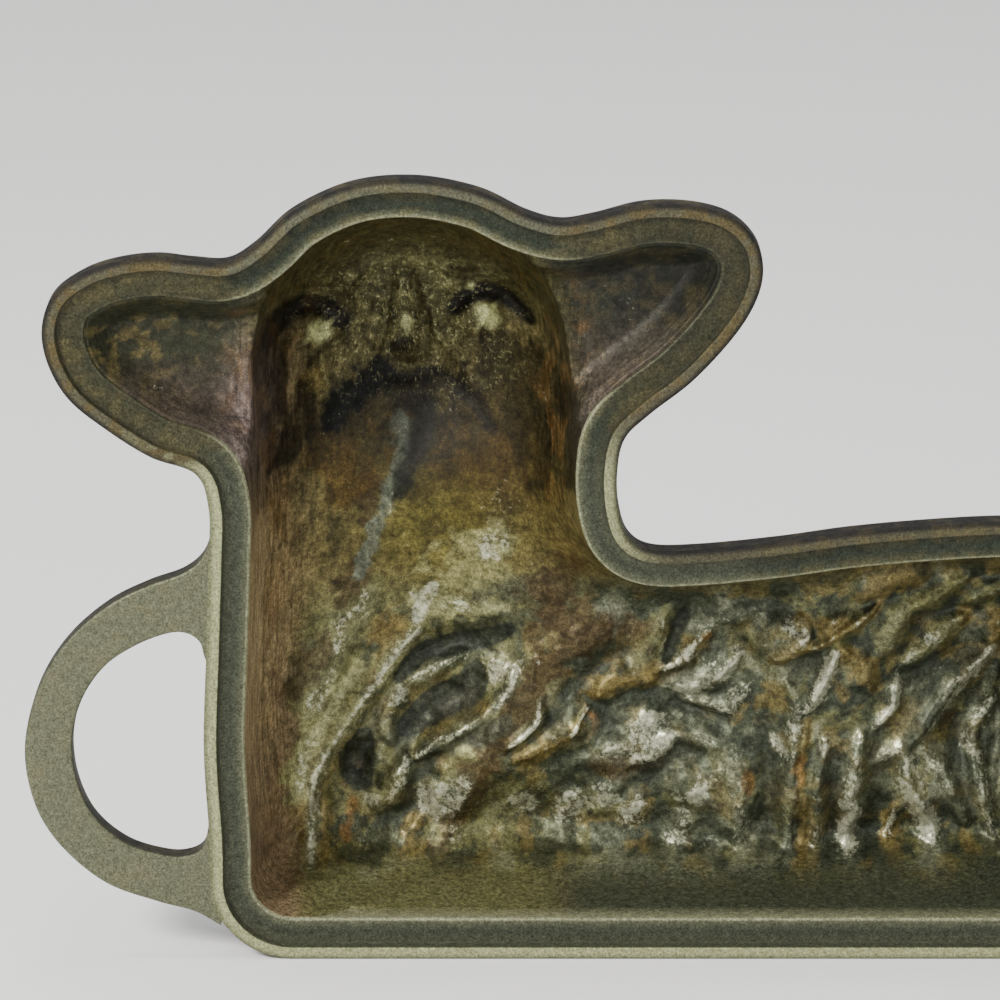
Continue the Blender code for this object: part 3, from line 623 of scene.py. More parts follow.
def strandRelief(x, z, turn):
    # upright strands: crests e^(-(part/w)^2) of a swaying coordinate, each with its own strength
    sway = 4.5 * (cloud(x / 26, z / 18, turn) - 0.5) * 2 + 1.4 * np.sin(z / 7.3 + x / 11.0)
    s = (acrossWool(x, z) + sway) / wool["strandPitch"]
    cell = np.floor(s)
    part = s - cell - 0.5 + 0.22 * (scatter(cell, 2.0, turn + 6) - 0.5)
    strength = 0.25 + 1.0 * cloud(cell * 3.7, z / 14.0, turn + 1)
    crest = np.exp(-(np.abs(part) / 0.20) ** 1.7) * strength
    double = np.exp(-((np.abs(part) - 0.40) / 0.11) ** 2) * 0.6 * cloud(cell * 5.3, z / 9.0, turn + 2)
    broad = 0.5 * cloud(s * 0.45, z / 20.0, turn + 3)
    notches = 0.5 * cloud(s * 2.4, z / 3.1, turn + 5)
    return wool["strandHeight"] * (crest + double + broad - 0.65) + wool["fineHeight"] * notches


def fractal(x, z, size, turn):
    # four octaves of the noise, each half as large and half as strong, from 0 to 1
    total = np.zeros(len(x))
    for octave in range(4):
        scale = 2 ** octave / size
        total += cloud(x * scale + 7.3 * octave, z * scale + 3.1 * octave, turn + octave) / 2 ** (octave + 1)
    return total / (1 - 1 / 16)


def woolZones(x, z):
    # shares of the locks along the back and of the strands below them
    chestEnd = smooth(82, 100, x + 0.45 * (z - 60))
    underBack = 1 - smooth(-9, -2, z - 92 - 0.03 * (x - 120))
    strands = (1 - smooth(48, 66, z - 0.07 * (x - 140))) * smooth(126, 136, x)
    locks = chestEnd * smooth(46, 60, z - 0.1 * (140 - x)) * underBack * (1 - strands)
    return locks, strands * underBack


def faceFlow(x, z):
    # hyperbolas that leave the brow level and turn down beside the nose
    out = np.maximum(np.abs(x - 46.5), 0.4)
    down = np.maximum(169 - z, 0.4)
    return np.sqrt(out * down), out - down


def faceLines(x, z):
    # fine curling wrinkles along the flow, from 0 to 1
    across, run = faceFlow(x, z)
    across = across + 0.8 * (cloud(x / 2.2, z / 2.2, 90) - 0.5)
    return 0.6 * cloud(across / 0.62, run / 3.6, 91) + 0.4 * cloud(across / 1.3, run / 2.2, 92)


def faceShare(x, z):
    # 1 over the face: exp(-(x part)^4 - (z part)^4)
    return np.exp(-((x - 46.5) / 27) ** 4 - ((z - 150) / 19) ** 4)


def swayed(spots):
    # x and z moved by broad noise and by fine noise
    moved = []
    for own, broadX, broadZ, fineX, fineZ, turn in ((spots.x, 7.0, 8.0, 2.4, 2.8, 14),
                                                    (spots.z, 7.5, 6.5, 2.6, 2.2, 15)):
        broad = cloud(spots.x / broadX, spots.z / broadZ, turn) - 0.5
        fine = cloud(spots.x / fineX, spots.z / fineZ, turn + 2) - 0.5
        moved.append(own + 1.3 * broad + 0.5 * fine)
    return moved


def frontRise(spots):
    # carving of the front half, towards the viewer: locks, grooves and noise over swayed places,
    # then the face's strokes and wrinkles, eased to nothing towards the rim
    x, z = swayed(spots)
    locks, strands = woolZones(x, z)
    unseen = smooth(190, 200, x)
    rise = rolled(x, z, rolls) + carved(x, z, grooves)
    rise += unseen * (locks * lockRelief(x, z, 20) + strands * strandRelief(x, z, 40))
    fleece = smooth(16, 30, x) * (1 - smooth(72, 90, z + 0.12 * (90 - x)))
    rise += fleece * (2.4 * (fractal(x, z, 10.0, 11) - 0.5) + 1.1 * (fractal(x, z, 3.4, 12) - 0.5))
    rise *= smooth(12.5, 20, spots.body) * smooth(12.2, 16, spots.closed)
    rise += carved(spots.x, spots.z, faceRelief) * smooth(12.5, 18, spots.body)
    rise += 0.7 * (faceLines(spots.x, spots.z) - 0.5) * faceShare(spots.x, spots.z)
    return rise * smooth(12.6, 15.5, spots.closed)


def backRise(spots):
    # carving of the back half: locks over the nape, the back and the haunch
    x, z = spots.x, spots.z
    locks, strands = woolZones(x, z)
    nape = smooth(14, 30, x) * (1 - smooth(84, 100, x)) * (1 - smooth(168, 180, z))
    shoulder = smooth(30, 60, x) * (1 - smooth(60, 80, z)) * (1 - strands)
    cover = np.maximum(np.maximum(locks, 0.8 * nape), shoulder)
    rise = cover * lockRelief(x + 37, z + 11, 60) + strands * strandRelief(x + 50, z, 80)
    rise += 0.8 * (fractal(x, z, 4.0, 64) - 0.5)
    return rise * smooth(12.5, 20, spots.body) * smooth(12.6, 16, spots.closed)


def makeMesh(name, points, faces, paint):
    # metres from millimetres, the tint, four shares (bare metal with painted shine, soot with painted shade,
    # rust, streaks), and the face's share and flow
    mesh = bpy.data.meshes.new(name)
    mesh.from_pydata(np.clip(points * 0.001, cadBox[0], cadBox[1]).tolist(), [], faces.tolist())
    layer = mesh.attributes.new("tint", "FLOAT_COLOR", "POINT")
    rgba = np.column_stack([paint["tint"], np.ones(len(points))]).astype(np.float32)
    layer.data.foreach_set("color", rgba.ravel())
    for key in ("bareAndShine", "sootAndShade", "rust", "streak", "face", "across", "run"):
        layer = mesh.attributes.new(key, "FLOAT", "POINT")
        layer.data.foreach_set("value", np.broadcast_to(paint.get(key, 0.0), len(points)).astype(np.float32))
    mesh.polygons.foreach_set("use_smooth", np.ones(len(mesh.polygons), bool))
    mesh.validate()
    made = bpy.data.objects.new(name, mesh)
    bpy.context.collection.objects.link(made)
    return made


hingeX = rumpX - min(x for x, z in catmullRom(handleLoops["rumpOuter"]).tolist()) + mould["hingeGap"]


def placed(xz, y, mirrored):
    # the front half as measured; the back half mirrored about the closing line
    x = 2 * hingeX - xz[:, 0] - middleX if mirrored else xz[:, 0] - middleX
    return np.column_stack([x, y, xz[:, 1]])


def netFaces(rows, count):
    # quads between neighbouring rows of points, where each row closes on itself
    index = np.arange(rows * count).reshape(rows, count)
    after = np.roll(index, -1, axis=1)
    return np.stack([index[:-1], after[:-1], after[1:], index[1:]], -1).reshape(-1, 4)


def turned(faces, flip):
    # the faces' corners in reverse order where the surface has to look the other way
    return faces[:, ::-1] if flip else faces


def linear(rgb):
    # the linear light of an sRGB colour from 0 to 255
    c = np.array(rgb, float) / 255
    return np.where(c <= 0.04045, c / 12.92, ((c + 0.055) / 1.055) ** 2.4)


def plain(rgb, count):
    # the same colour for count points
    return np.tile(linear(rgb), (count, 1))


def over(tint, rgb, share):
    # lay a colour over the tint by a share from 0 to 1
    return tint + (linear(rgb) - tint) * np.clip(share, 0, 1)[:, None]


def layered(tint, colours, layers):
    # lay named colours over the tint in turn, each by its share
    for name, share in layers:
        tint = over(tint, colours[name], share)
    return tint


def blob(x, z, cx, cz, rx, rz):
    # 1 at a centre, falling as exp(-(x part)^2 - (z part)^2)
    return np.exp(-((x - cx) / rx) ** 2 - ((z - cz) / rz) ** 2)


frontColours = {
    "wall": (116, 104, 68),
    "leftWall": (158, 138, 104),
    "leftWallDark": (112, 94, 72),
    "crown": (74, 69, 38),
    # darker top wall of the head, which on the front half stands in for the shade on a wall that faces down
    "forehead": (54, 54, 33),
    # dark streaks on the cheeks, also painted shade beside the left eye, under the muzzle and beside the face
    "cheek": (27, 26, 16),
    "mouth": (12, 13, 11),
    # painted shade: near black in the crescents over the eyes and at the top of the right ear's pocket
    "paintedShade": (16, 15, 10),
    "throat": (84, 79, 36),
    "throatGold": (78, 60, 22),
    "throatDark": (54, 49, 26),
    # a dark streak under the chin, also painted shade under the muzzle
    "chinStreak": (24, 27, 21),
    "chinGrey": (92, 98, 84),
    "chest": (104, 103, 68),
    "wool": (68, 72, 56),
    "backWall": (98, 88, 56),
    "earLeft": (44, 46, 31),
    "earLeftLow": (70, 60, 52),
    "earRight": (40, 42, 33),
    "earRightLow": (74, 64, 54),
    # painted highlight: pale pink where the left ear's pocket meets the head's wall
    "earRootLight": (118, 104, 98),
    # painted highlight on the eyes, the nose and a small lump above the right eye
    "eye": (190, 192, 136),
    "fleck": (132, 128, 84),
    "silver": (140, 143, 118),
    "gold": (112, 98, 56),
    "olive": (104, 103, 66),
    "orange": (132, 96, 50),
    "brown": (66, 55, 35),
    "dark": (56, 61, 49),
    "land": (150, 153, 114),
    "landHead": (84, 84, 68),
    "landBack": (72, 70, 54),
    "landEar": (74, 67, 48),
    "rabbet": (74, 76, 60),
    "rabbetHead": (48, 51, 38),
    "rabbetEar": (74, 69, 46),
    "rabbetMiddle": (40, 48, 42),
    "mouthEdge": (140, 142, 112),
    # painted highlight: a pale colour where the chest, the rolls and the low locks should catch the light
    "paintedLight": (146, 144, 98),
    "hollow": (46, 50, 42),
    # painted shade: near black for the rim's and the handles' side walls and the land's outer edge
    "side": (22, 18, 20),
    "outside": (62, 56, 45),
    "outsideDark": (40, 37, 31),
    "hole": (52, 46, 36),
    "handle": (96, 98, 78),
}

frontPatches = [
    # colour, share of it, how far noise eats its edge, and the places with their half widths
    ("olive", 0.75, 1.6, (("lightPlane", 5.0), ("lobeA", 4.0), ("lobeI", 4.2), ("lobeH", 3.2), ("lobeM", 3.4),
                          ("lobeN", 3.0), ("innerLump", 2.2), ("lowTan", 3.6), ("lobeJ", 2.4), ("knob", 5.0),
                          ("chestSilver", 7.0), ("leftRoll", 3.2))),
    # painted highlights on the chest, the rolls and the low locks
    ("paintedLight", 0.60, 2.0, (("chestGlow", 8.0), ("leftRollShine", 4.0), ("rollLight", 3.4), ("rollLow", 3.4),
                         ("aboveCurl", 3.2), ("lowLightA", 3.4), ("lowLightB", 3.2), ("lowLightC", 3.4),
                         ("lowLightD", 4.0), ("lowLightE", 3.0), ("backLight", 2.4))),
    ("brown", 0.85, 1.2, (("arm", 5.2), ("brownPatch", 3.8), ("brownG", 2.2))),
    ("dark", 0.70, 1.9, (("lowDark", 3.2), ("diagDark", 2.2), ("knobGroove", 1.6), ("darkStreak", 1.3),
                         ("darkHollow", 3.4), ("darkI", 2.2), ("creaseH", 1.2), ("armShade", 1.8),
                         ("darkA", 4.4), ("darkB", 3.4), ("darkC", 4.6), ("darkD", 3.8), ("darkE", 3.6),
                         ("darkF", 4.0), ("darkG", 2.6), ("darkSa", 3.2), ("darkSb", 3.4), ("darkSc", 2.0),
                         ("darkSd", 2.8), ("darkL", 2.6), ("throatDark", 3.6))),
    ("gold", 0.75, 2.2, (("goldBand", 2.8), ("tongueTail", 2.4), ("chestGoldA", 4.2), ("chestGoldC", 3.2),
                         ("lowGold", 2.0), ("lobeC", 4.4), ("lobeB", 2.8), ("goldE", 2.6), ("goldF", 2.8),
                         ("goldG", 3.4), ("goldI", 3.4), ("goldM", 2.4), ("goldN", 3.4), ("strandH", 2.2),
                         ("strandI", 1.6), ("lowGoldRoll", 3.0), ("knob", 3.0), ("lineE", 1.6))),
    ("orange", 0.60, 1.8, (("chestGoldB", 2.2), ("lowOrange", 1.8), ("orangeSpot", 1.6), ("orangeS", 1.5),
                           ("lobeBTip", 1.4), ("knobRim", 1.2))),
    ("dark", 0.80, 1.0, (("spotC", 1.6),)),
    # painted highlight along the left roll
    ("paintedLight", 0.85, 1.4, (("rollLight", 4.2),)),
    # painted shade: brown and dark laid over the arm and the shade places
    ("brown", 0.80, 1.8, (("brownArm", 6.0), ("brownArmLow", 4.6), ("shadeH", 4.4), ("shadeI", 3.4),
                          ("shadeM", 3.6))),
    ("dark", 0.72, 1.8, (("shadeA", 3.6), ("shadeB", 3.4), ("shadeC", 4.2), ("shadeD", 3.8), ("shadeE", 3.4),
                         ("shadeF", 3.4), ("shadeG", 3.4), ("shadeJ", 2.2), ("shadeK", 2.6),
                         ("shadeL", 2.6), ("shadeO", 2.8), ("shadeP", 2.4))),
    ("throatDark", 0.60, 1.6, (("shadeN", 5.0),)),
]

quietPatches = [
    # the painted shade's places, where neither bare metal nor painted highlight shows, with half widths
    ("brownArm", 6.5), ("shadeA", 4.0), ("shadeB", 3.8), ("shadeC", 4.0), ("shadeD", 4.2), ("shadeE", 3.8),
    ("shadeF", 3.8), ("shadeG", 3.8), ("shadeH", 4.6), ("shadeI", 3.6), ("shadeJ", 2.4), ("shadeK", 2.8),
    ("shadeL", 2.8), ("shadeO", 3.0), ("shadeP", 2.6), ("brownArmLow", 4.8),
]

silverPatches = [
    # how much bare metal shows, which in places also stands in for highlights (the Light and Shine places are
    # painted highlights), and the places with their half widths
    (0.50, (("chestSilver", 4.4), ("leftRoll", 2.6), ("innerRoll", 2.6), ("leftRollLight", 2.4),
            ("lowLumpA", 1.8), ("lowLumpB", 1.9), ("aboveCurl", 2.6), ("backLight", 2.0), ("rollLow", 3.0),
            ("throatShine", 4.2), ("rollLight", 2.4), ("silverD", 5.0), ("silverE", 5.0), ("silverF", 3.6),
            ("silverB", 5.0), ("silverC", 4.4), ("lobeE", 4.6),
            ("highUp", 2.6), ("lobeK", 2.8), ("strandC", 2.2), ("strandFb", 2.8), ("lowRoll", 2.6),
            ("shoulderArc", 3.0), ("strandA", 2.6), ("strandG", 3.0), ("lobeA", 2.6), ("lobeI", 2.8),
            ("lobeM", 2.4), ("lightPlane", 4.0), ("goldE", 1.6))),
    (0.80, (("silverA", 5.4), ("lowSilver", 4.6), ("strandB", 2.6), ("strandD", 2.8),
            ("strandE", 2.0), ("strandF", 3.4), ("strandFa", 3.4), ("lobeD", 3.4), ("shoulderTop", 4.8),
            ("shoulderTopB", 3.6), ("lowLightC", 3.0), ("lowLightE", 2.6),
            ("rightLightA", 2.0), ("rightLightB", 2.0), ("leftRoll", 0.9))),
    (0.85, (("chestShine", 2.6), ("brightRoll", 1.2), ("armEdge", 1.0), ("shoulderTop", 2.8), ("lobeD", 1.6),
            ("strandFa", 1.8), ("strandE", 1.0), ("leftRollShine", 1.3), ("lowLightA", 4.0),
            ("lowLightB", 3.6), ("lowLightC", 2.6), ("lowLightD", 4.0))),
]


def hollowShare(x, z):
    # the clean-edged dark hollows between the chest's locks
    share = np.zeros(len(x))
    for name, width in (("darkPatch", 3.0), ("innerHollow", 4.4), ("lowHollow", 4.8), ("creaseA", 1.8)):
        share = np.maximum(share, smooth(0.24, 0.44, patch(x, z, name, width)))
    return share


def silverShare(x, z):
    # the greatest share of bare metal and painted highlight among the patches, less in the hollows and the
    # painted shade
    shine = np.zeros(len(x))
    for share, places in silverPatches:
        for name, width in places:
            shine = np.maximum(shine, share * smooth(0, 0.75, patch(x, z, name, width)))
    quiet = np.zeros(len(x))
    for name, width in quietPatches:
        quiet = np.maximum(quiet, smooth(0, 0.6, patch(x, z, name, width)))
    return shine * (1 - hollowShare(x, z)) * (1 - 0.8 * quiet)


def bodyTint(x, z):
    # the walls, the crown, the forehead, the throat and the chest
    streaks = fractal(x * 1.5 + 0.4 * z, z * 0.42, 6.0, 33)
    leftWall = (1 - smooth(14, 26, x)) * (1 - smooth(148, 164, z))
    throat = blob(x, z, 56, 104, 30, 26) ** 0.7
    locks, strands = woolZones(x, z)
    fleece = smooth(76, 92, x) * (1 - smooth(70, 86, z))
    return layered(plain(frontColours["wall"], len(x)), frontColours, [
        ("backWall", smooth(84, 100, x)),
        ("leftWall", leftWall),
        ("leftWallDark", leftWall * smooth(0.48, 0.66, streaks)),
        ("leftWallDark", 0.7 * leftWall * (1 - smooth(36, 74, z))),
        # the head's top wall darker: painted shade on a wall that faces down
        ("crown", smooth(146, 164, z) * smooth(0, 12, x) * (1 - smooth(88, 98, x))),
        ("forehead", 0.9 * blob(x, z, 46, 152, 32, 17)),
        ("throat", throat),
        ("throatDark", 0.7 * throat * smooth(0.52, 0.68, fractal(x, z, 9.0, 34))),
        ("chest", (1 - smooth(70, 92, z)) * smooth(16, 26, x) * (1 - smooth(76, 96, x))),
        ("wool", np.maximum(np.maximum(locks, strands), fleece)),
    ])


def coatTint(tint, x, z, sx, sz, spots, u, v, feather):
    # the coat's broken silver, gold and black, then the patches along the locks
    coat = (1 - smooth(74, 90, z + 0.12 * (90 - x))) * smooth(14, 26, x) * smooth(12.5, 20, spots.body)
    coat = coat * smooth(10, 13, z)
    wear = fractal(u, v, 9.0, 21) + 0.5 * (feather - 0.5)
    ragged = 0.4 * (feather - 0.5)
    tint = layered(tint, frontColours, [
        ("olive", 0.6 * coat * smooth(0.48, 0.58, fractal(u, v, 11.0, 26) + ragged)),
        ("dark", 0.75 * coat * smooth(0.47, 0.40, wear)),
        ("silver", 0.40 * coat * smooth(0.53, 0.66, wear)),
        ("gold", 0.55 * coat * smooth(0.58, 0.66, fractal(u, v, 7.0, 30) + ragged)),
    ])
    edge = smooth(10.5, 15, spots.closed)
    for colour, share, rough, places in frontPatches:
        for name, width in places:
            eatenShare = eaten(patch(sx, sz, name, width), feather, rough)
            tint = over(tint, frontColours[colour], share * edge * eatenShare)
    return layered(tint, frontColours, [
        ("hollow", 0.92 * hollowShare(sx, sz)),
        ("silver", 0.35 * silverShare(sx, sz) * edge),
    ])


facePatches = [
    # the mouth's places, with their half widths and shares of its colour
    ("mouthL", 4.8, 1.0), ("mouthR", 2.0, 0.75), ("lipTop", 1.9, 0.8), ("mouthIn", 4.4, 0.65),
    ("noseTip", 2.2, 0.7),
]

# painted highlights: the lit lower walls of the eyes' dents, the nose's shine and a small lump above the
# right eye, with half widths and shares
eyePatches = [
    ("eyeL", 4.0, 0.95), ("eyeR", 4.6, 0.95), ("nail", 1.5, 0.7), ("noseShine", 1.5, 0.5),
]


def faceTint(tint, x, z, sx, sz, feather):
    # dark streaks down the cheeks, painted shade beside the left eye, under the muzzle and beside the face,
    # gold and grey under the chin, the mouth, painted shade in the lids and painted highlights on the eyes
    # and the nose
    brushed = fractal(x * 1.7, z * 0.5, 4.0, 35)
    fine = fractal(x, z, 2.0, 36)
    shadeBesideFace = smooth(77, 84, x) * (1 - smooth(90, 98, x)) * smooth(112, 126, z) * (1 - smooth(158, 170, z))
    face = faceShare(x, z)
    lines = faceLines(x, z)
    tint = layered(tint, frontColours, [
        # painted shade beside and below the left eye, with streaky edges
        ("cheek", 0.9 * eaten(patch(x, z, "cheekL", 9.0), brushed, 2.2)),
        ("cheek", 0.8 * eaten(patch(x, z, "cheekR", 12.0), brushed, 2.6)),
        ("throatGold", 0.8 * eaten(patch(sx, sz, "throatGoldL", 8.0), fractal(x, z, 6.0, 38), 1.6)),
        # painted shade under the muzzle
        ("chinStreak", 0.75 * blob(x, z, 56, 123, 18, 11)),
        ("throatGold", 0.7 * blob(x, z, 66, 118, 14, 14)),
        ("cheek", 0.55 * blob(x, z, 26, 104, 9, 24) * smooth(0.40, 0.60, brushed)),
        ("cheek", 0.50 * blob(x, z, 76, 112, 9, 22) * smooth(0.42, 0.62, fractal(x, z, 5.0, 41))),
        # painted shade under the nose and the mouth
        ("cheek", 0.80 * blob(x, z, 50, 127, 28, 13) * (1 - 0.4 * smooth(0.44, 0.60, fine))),
        ("throatGold", 0.6 * blob(x, z, 48, 122, 22, 9) * smooth(0.52, 0.62, fine)),
        # painted shade on the wall beside the face's right side
        ("cheek", 0.6 * shadeBesideFace),
        ("gold", 0.6 * eaten(patch(sx, sz, "cheekGold", 2.6), fine, 1.2)),
        ("chinGrey", 0.75 * eaten(patch(x, z, "chinGrey", 2.1), feather, 1.6)),
        ("chinStreak", 0.85 * eaten(patch(sx, sz, "chinStreak", 3.0), fine, 1.0)),
        ("fleck", 0.25 * face * smooth(0.55, 0.75, fractal(x, z, 5.0, 94))),
        ("mouth", 0.30 * face * smooth(0.38, 0.24, lines)),
    ])
    for name, width, share in facePatches:
        eatenShare = eaten(patch(x, z, name, width), 0.5 * fine + 0.5 * lines, 1.8)
        tint = over(tint, frontColours["mouth"], share * eatenShare)
    # painted shade in the crescents over the eyes
    for name, width in (("lidL", 3.6), ("lidR", 2.7)):
        tint = over(tint, frontColours["paintedShade"], 0.97 * smooth(0.12, 0.62, patch(x, z, name, width)))
    for name, width, share in eyePatches:
        tint = over(tint, frontColours["eye"], share * smooth(0.1, 0.8, patch(x, z, name, width)))
    return tint


def frontTint(x, z, spots):
    # zones of the cavity laid over each other, from the wall's brown to the painted face
    drop = frontForm["depth"] - cavityDepth(spots, frontForm)
    # noise runs along the surface where the walls fall away
    u = x - 0.8 * np.maximum(drop, 0) * (1 - smooth(16, 28, x)) * (1 - smooth(28, 34, z))
    v = z - 0.8 * np.maximum(drop, 0) * (1 - smooth(19, 27, z))
    feather = fractal(u, v, 3.0, 29)
    sx = x + 1.8 * (fractal(x, z, 4.0, 27) - 0.5)
    sz = z + 1.8 * (fractal(x, z, 4.0, 28) - 0.5)
    tint = coatTint(bodyTint(x, z), x, z, sx, sz, spots, u, v, feather)
    tint = faceTint(tint, x, z, sx, sz, feather)
    # the ears: pockets darker at the top and lighter below, which stands in for the shade at the pockets'
    # tops, with painted shade at the right ear's top and a painted highlight at the left ear's root
    outsideBody = 1 - smooth(4, 14, spots.body)
    left = outsideBody * (1 - smooth(20, 50, x)) * smooth(110, 126, z)
    right = outsideBody * smooth(60, 90, x) * smooth(118, 132, z)
    specks = smooth(0.54, 0.64, fractal(x, z, 2.4, 39) + 0.5 * (fractal(x, z, 9.0, 40) - 0.5))
    return layered(tint, frontColours, [
        ("earLeft", left),
        ("earLeftLow", 0.8 * left * (1 - smooth(140, 154, z))),
        ("gold", 0.45 * left * specks * blob(x, z, -18, 155, 22, 11)),
        ("earRight", right),
        ("earRightLow", 0.8 * right * (1 - smooth(146, 166, z + 0.25 * (100 - x)))),
        # painted shade at the top of the right ear's pocket
        ("paintedShade", 0.65 * right * blob(x, z, 116, 168, 20, 9)),
        # painted highlight where the left ear's pocket meets the head's wall
        ("earRootLight", 0.6 * blob(x, z, 9.5, 136, 5, 16)),
        ("gold", 0.12 * right * specks),
    ])


def grid():
    # a regular net over the outline's box, as many columns as rows need
    step = mould["gridStep"]
    low, high = rimRing.min(0) - step, rimRing.max(0) + step
    xs = np.arange(low[0], high[0] + step, step)
    zs = np.arange(low[1], high[1] + step, step)
    mesh = np.meshgrid(xs, zs)
    return Spots(np.column_stack([mesh[0].ravel(), mesh[1].ravel()])), len(xs), len(zs)


def curvature(height, columns, rows, reach):
    # the mean height at reach cells around each point, less its own height
    field = height.reshape(rows, columns)
    pad = np.pad(field, reach, mode="edge")
    total = np.zeros_like(field)
    for dz, dx in ((reach, 0), (-reach, 0), (0, reach), (0, -reach)):
        total += pad[reach + dz:reach + dz + rows, reach + dx:reach + dx + columns]
    return (total / 4 - field).ravel()


hole = {
    "x": 46.5,
    "z": 160.0,
    "radius": 2.0,
    "sides": 48,
}


def carvedSheet(name, net, level, depthOf, riseOf, paintOf, mirrored, outward, holed):
    # the net's cells inside a distance from the outline, with its edge drawn onto that line:
    # y = depth(x, z) at every point
    spots, columns, rows = net
    fromHole = np.hypot(spots.x - hole["x"], spots.z - hole["z"]) - hole["radius"]
    inside = spots.closed > level
    if holed:
        inside &= fromHole > 0
    index = np.arange(columns * rows).reshape(rows, columns)
    corners = np.stack([index[:-1, :-1], index[:-1, 1:], index[1:, 1:], index[1:, :-1]], -1).reshape(-1, 4)
    corners = corners[inside[corners].any(1)]
    used = np.unique(corners)
    renumber = np.zeros(columns * rows, int)
    renumber[used] = np.arange(len(used))
    xz = spots.points[used].copy()
    off = spots.closed[used] < level
    gap = spots.points[used][off] - spots.foot[used][off]
    unit = gap / (spots.closed[used][off])[:, None]
    xz[off] = spots.foot[used][off] + unit * level
    if holed:
        near = fromHole[used] < 0
        centre = np.array([hole["x"], hole["z"]])
        ray = xz[near] - centre
        xz[near] = centre + ray / np.linalg.norm(ray, axis=1)[:, None] * hole["radius"]
    carving = riseOf(spots)
    ridge = -curvature(carving, columns, rows, 3)[used]
    lift = -curvature(carving, columns, rows, 7)[used]
    moved = off | (fromHole[used] < 0 if holed else off)
    here = spots.pick(used, moved, xz)
    y = depthOf(here)
    if not outward:
        y = y + mould["tuck"] * (1 - smooth(level, level + mould["tuckReach"], here.closed))
    faces = turned(renumber[corners], mirrored != outward)
    return makeMesh(name, placed(xz, y, mirrored), faces, paintOf(here, ridge, lift))


def cavityPaint(here, ridge, lift, tint, shine):
    # bare metal on what stands proud, which also stands in for highlights on the crests, soot in the grooves,
    # streaks on the walls
    coat = (1 - smooth(74, 92, here.z + 0.12 * (90 - here.x))) * smooth(12, 20, here.body)
    proud = 0.5 * smooth(0.05, 0.9, ridge) + 0.5 * smooth(0.3, 2.2, lift)
    sunk = 0.5 * smooth(0.05, 0.8, -ridge) + 0.5 * smooth(0.2, 1.6, -lift)
    wall = (1 - smooth(14, 26, here.body)) * smooth(0, 8, here.body) * smooth(14, 30, here.z)
    return {"tint": tint, "bareAndShine": np.maximum(0.55 * proud * (0.15 + 0.85 * coat), shine),
            "sootAndShade": 0.45 * sunk, "rust": 0.25 * wall * (1 - coat), "streak": wall}


def frontCavityPaint(here, ridge, lift):
    # the cavity's paint with patches of bare metal and painted highlight, a dull chin darkened as painted
    # shade, and the face's flow
    shine = silverShare(here.x, here.z) * smooth(11, 16, here.closed) * (1 - 0.5 * smooth(0.1, 1.0, -ridge))
    paint = cavityPaint(here, ridge, lift, frontTint(here.x, here.z, here), shine)
    # duller and darker at the chin, which stands in for the shade under the muzzle, and in the ears and along
    # the body's outline
    dull = np.maximum(0.75 * blob(here.x, here.z, 52, 122, 26, 15), 0.4 * (1 - smooth(2, 8, here.body)))
    paint["sootAndShade"] = np.maximum(paint["sootAndShade"], dull)
    paint["face"] = faceShare(here.x, here.z) * smooth(13, 20, here.body)
    paint["across"], paint["run"] = faceFlow(here.x, here.z)
    return paint


def backTint(x, z):
    # the same patina without the painted places: dark head, broken silver and gold on the coat
    coat = 1 - smooth(96, 112, z)
    wear = fractal(x + 31, z + 17, 8.0, 71)
    return layered(plain(frontColours["wall"], len(x)), frontColours, [
        ("crown", smooth(120, 150, z)),
        ("wool", coat),
        ("olive", 0.6 * smooth(0.50, 0.62, fractal(x, z, 11.0, 76))),
        ("gold", 0.5 * coat * smooth(0.60, 0.68, fractal(x, z, 9.0, 81))),
        ("dark", 0.7 * smooth(0.46, 0.36, wear)),
        ("silver", 0.6 * coat * smooth(0.55, 0.68, wear)),
    ])


def backCavityPaint(here, ridge, lift):
    # the cavity's paint without bright patches
    return cavityPaint(here, ridge, lift, backTint(here.x, here.z), 0)


def outsidePaint(here, ridge, lift):
    # dark iron in two tones, worn on what stands proud and rusty all over
    tint = plain(frontColours["outside"], len(here.x))
    patches = 0.8 * smooth(0.52, 0.40, fractal(here.x, here.z, 14.0, 51))
    tint = over(tint, frontColours["outsideDark"], patches)
    return {"tint": tint, "bareAndShine": 0.35 * smooth(0.1, 1.2, -lift), "sootAndShade": 0.5 * smooth(0.1, 1.0, lift),
            "rust": 0.35}


handleRoots = [
    # heights from and to, and whether a root is there at the chest and at the rump
    (8.8, 34.0, True, True),
    (77.8, 103.6, True, False),
    (66.0, 90.0, False, True),
]


def handleNearness(ring):
    # 1 beside the handles' roots, where the rim's edge runs straight into the handle,
    # averaged over nine points of the ring
    chestSide = ring[:, 0] < 10
    rumpSide = ring[:, 0] > 230
    flat = np.zeros(len(ring))
    for low, high, atChest, atRump in handleRoots:
        side = (chestSide & atChest) | (rumpSide & atRump)
        flat[side & (ring[:, 1] > low) & (ring[:, 1] < high)] = 1
    kernel = np.hanning(9) / np.hanning(9).sum()
    wide = np.concatenate([flat[-8:], flat, flat[:8]])
    return np.convolve(wide, kernel, mode="same")[8:-8]


rimShape = {
    "edge": 0.8,           # rounding of the outer edges
    "mouthRound": 0.9,     # rounding between the rabbet's floor and the cavity wall
    "rabbetLoss": 0.35,    # how much shallower the rabbet is in the ears
    "tongueLoss": 0.40,    # and how much lower the tongue is
    "backSink": 0.12,      # how far the rim's last row lies inside the outside's surface
}


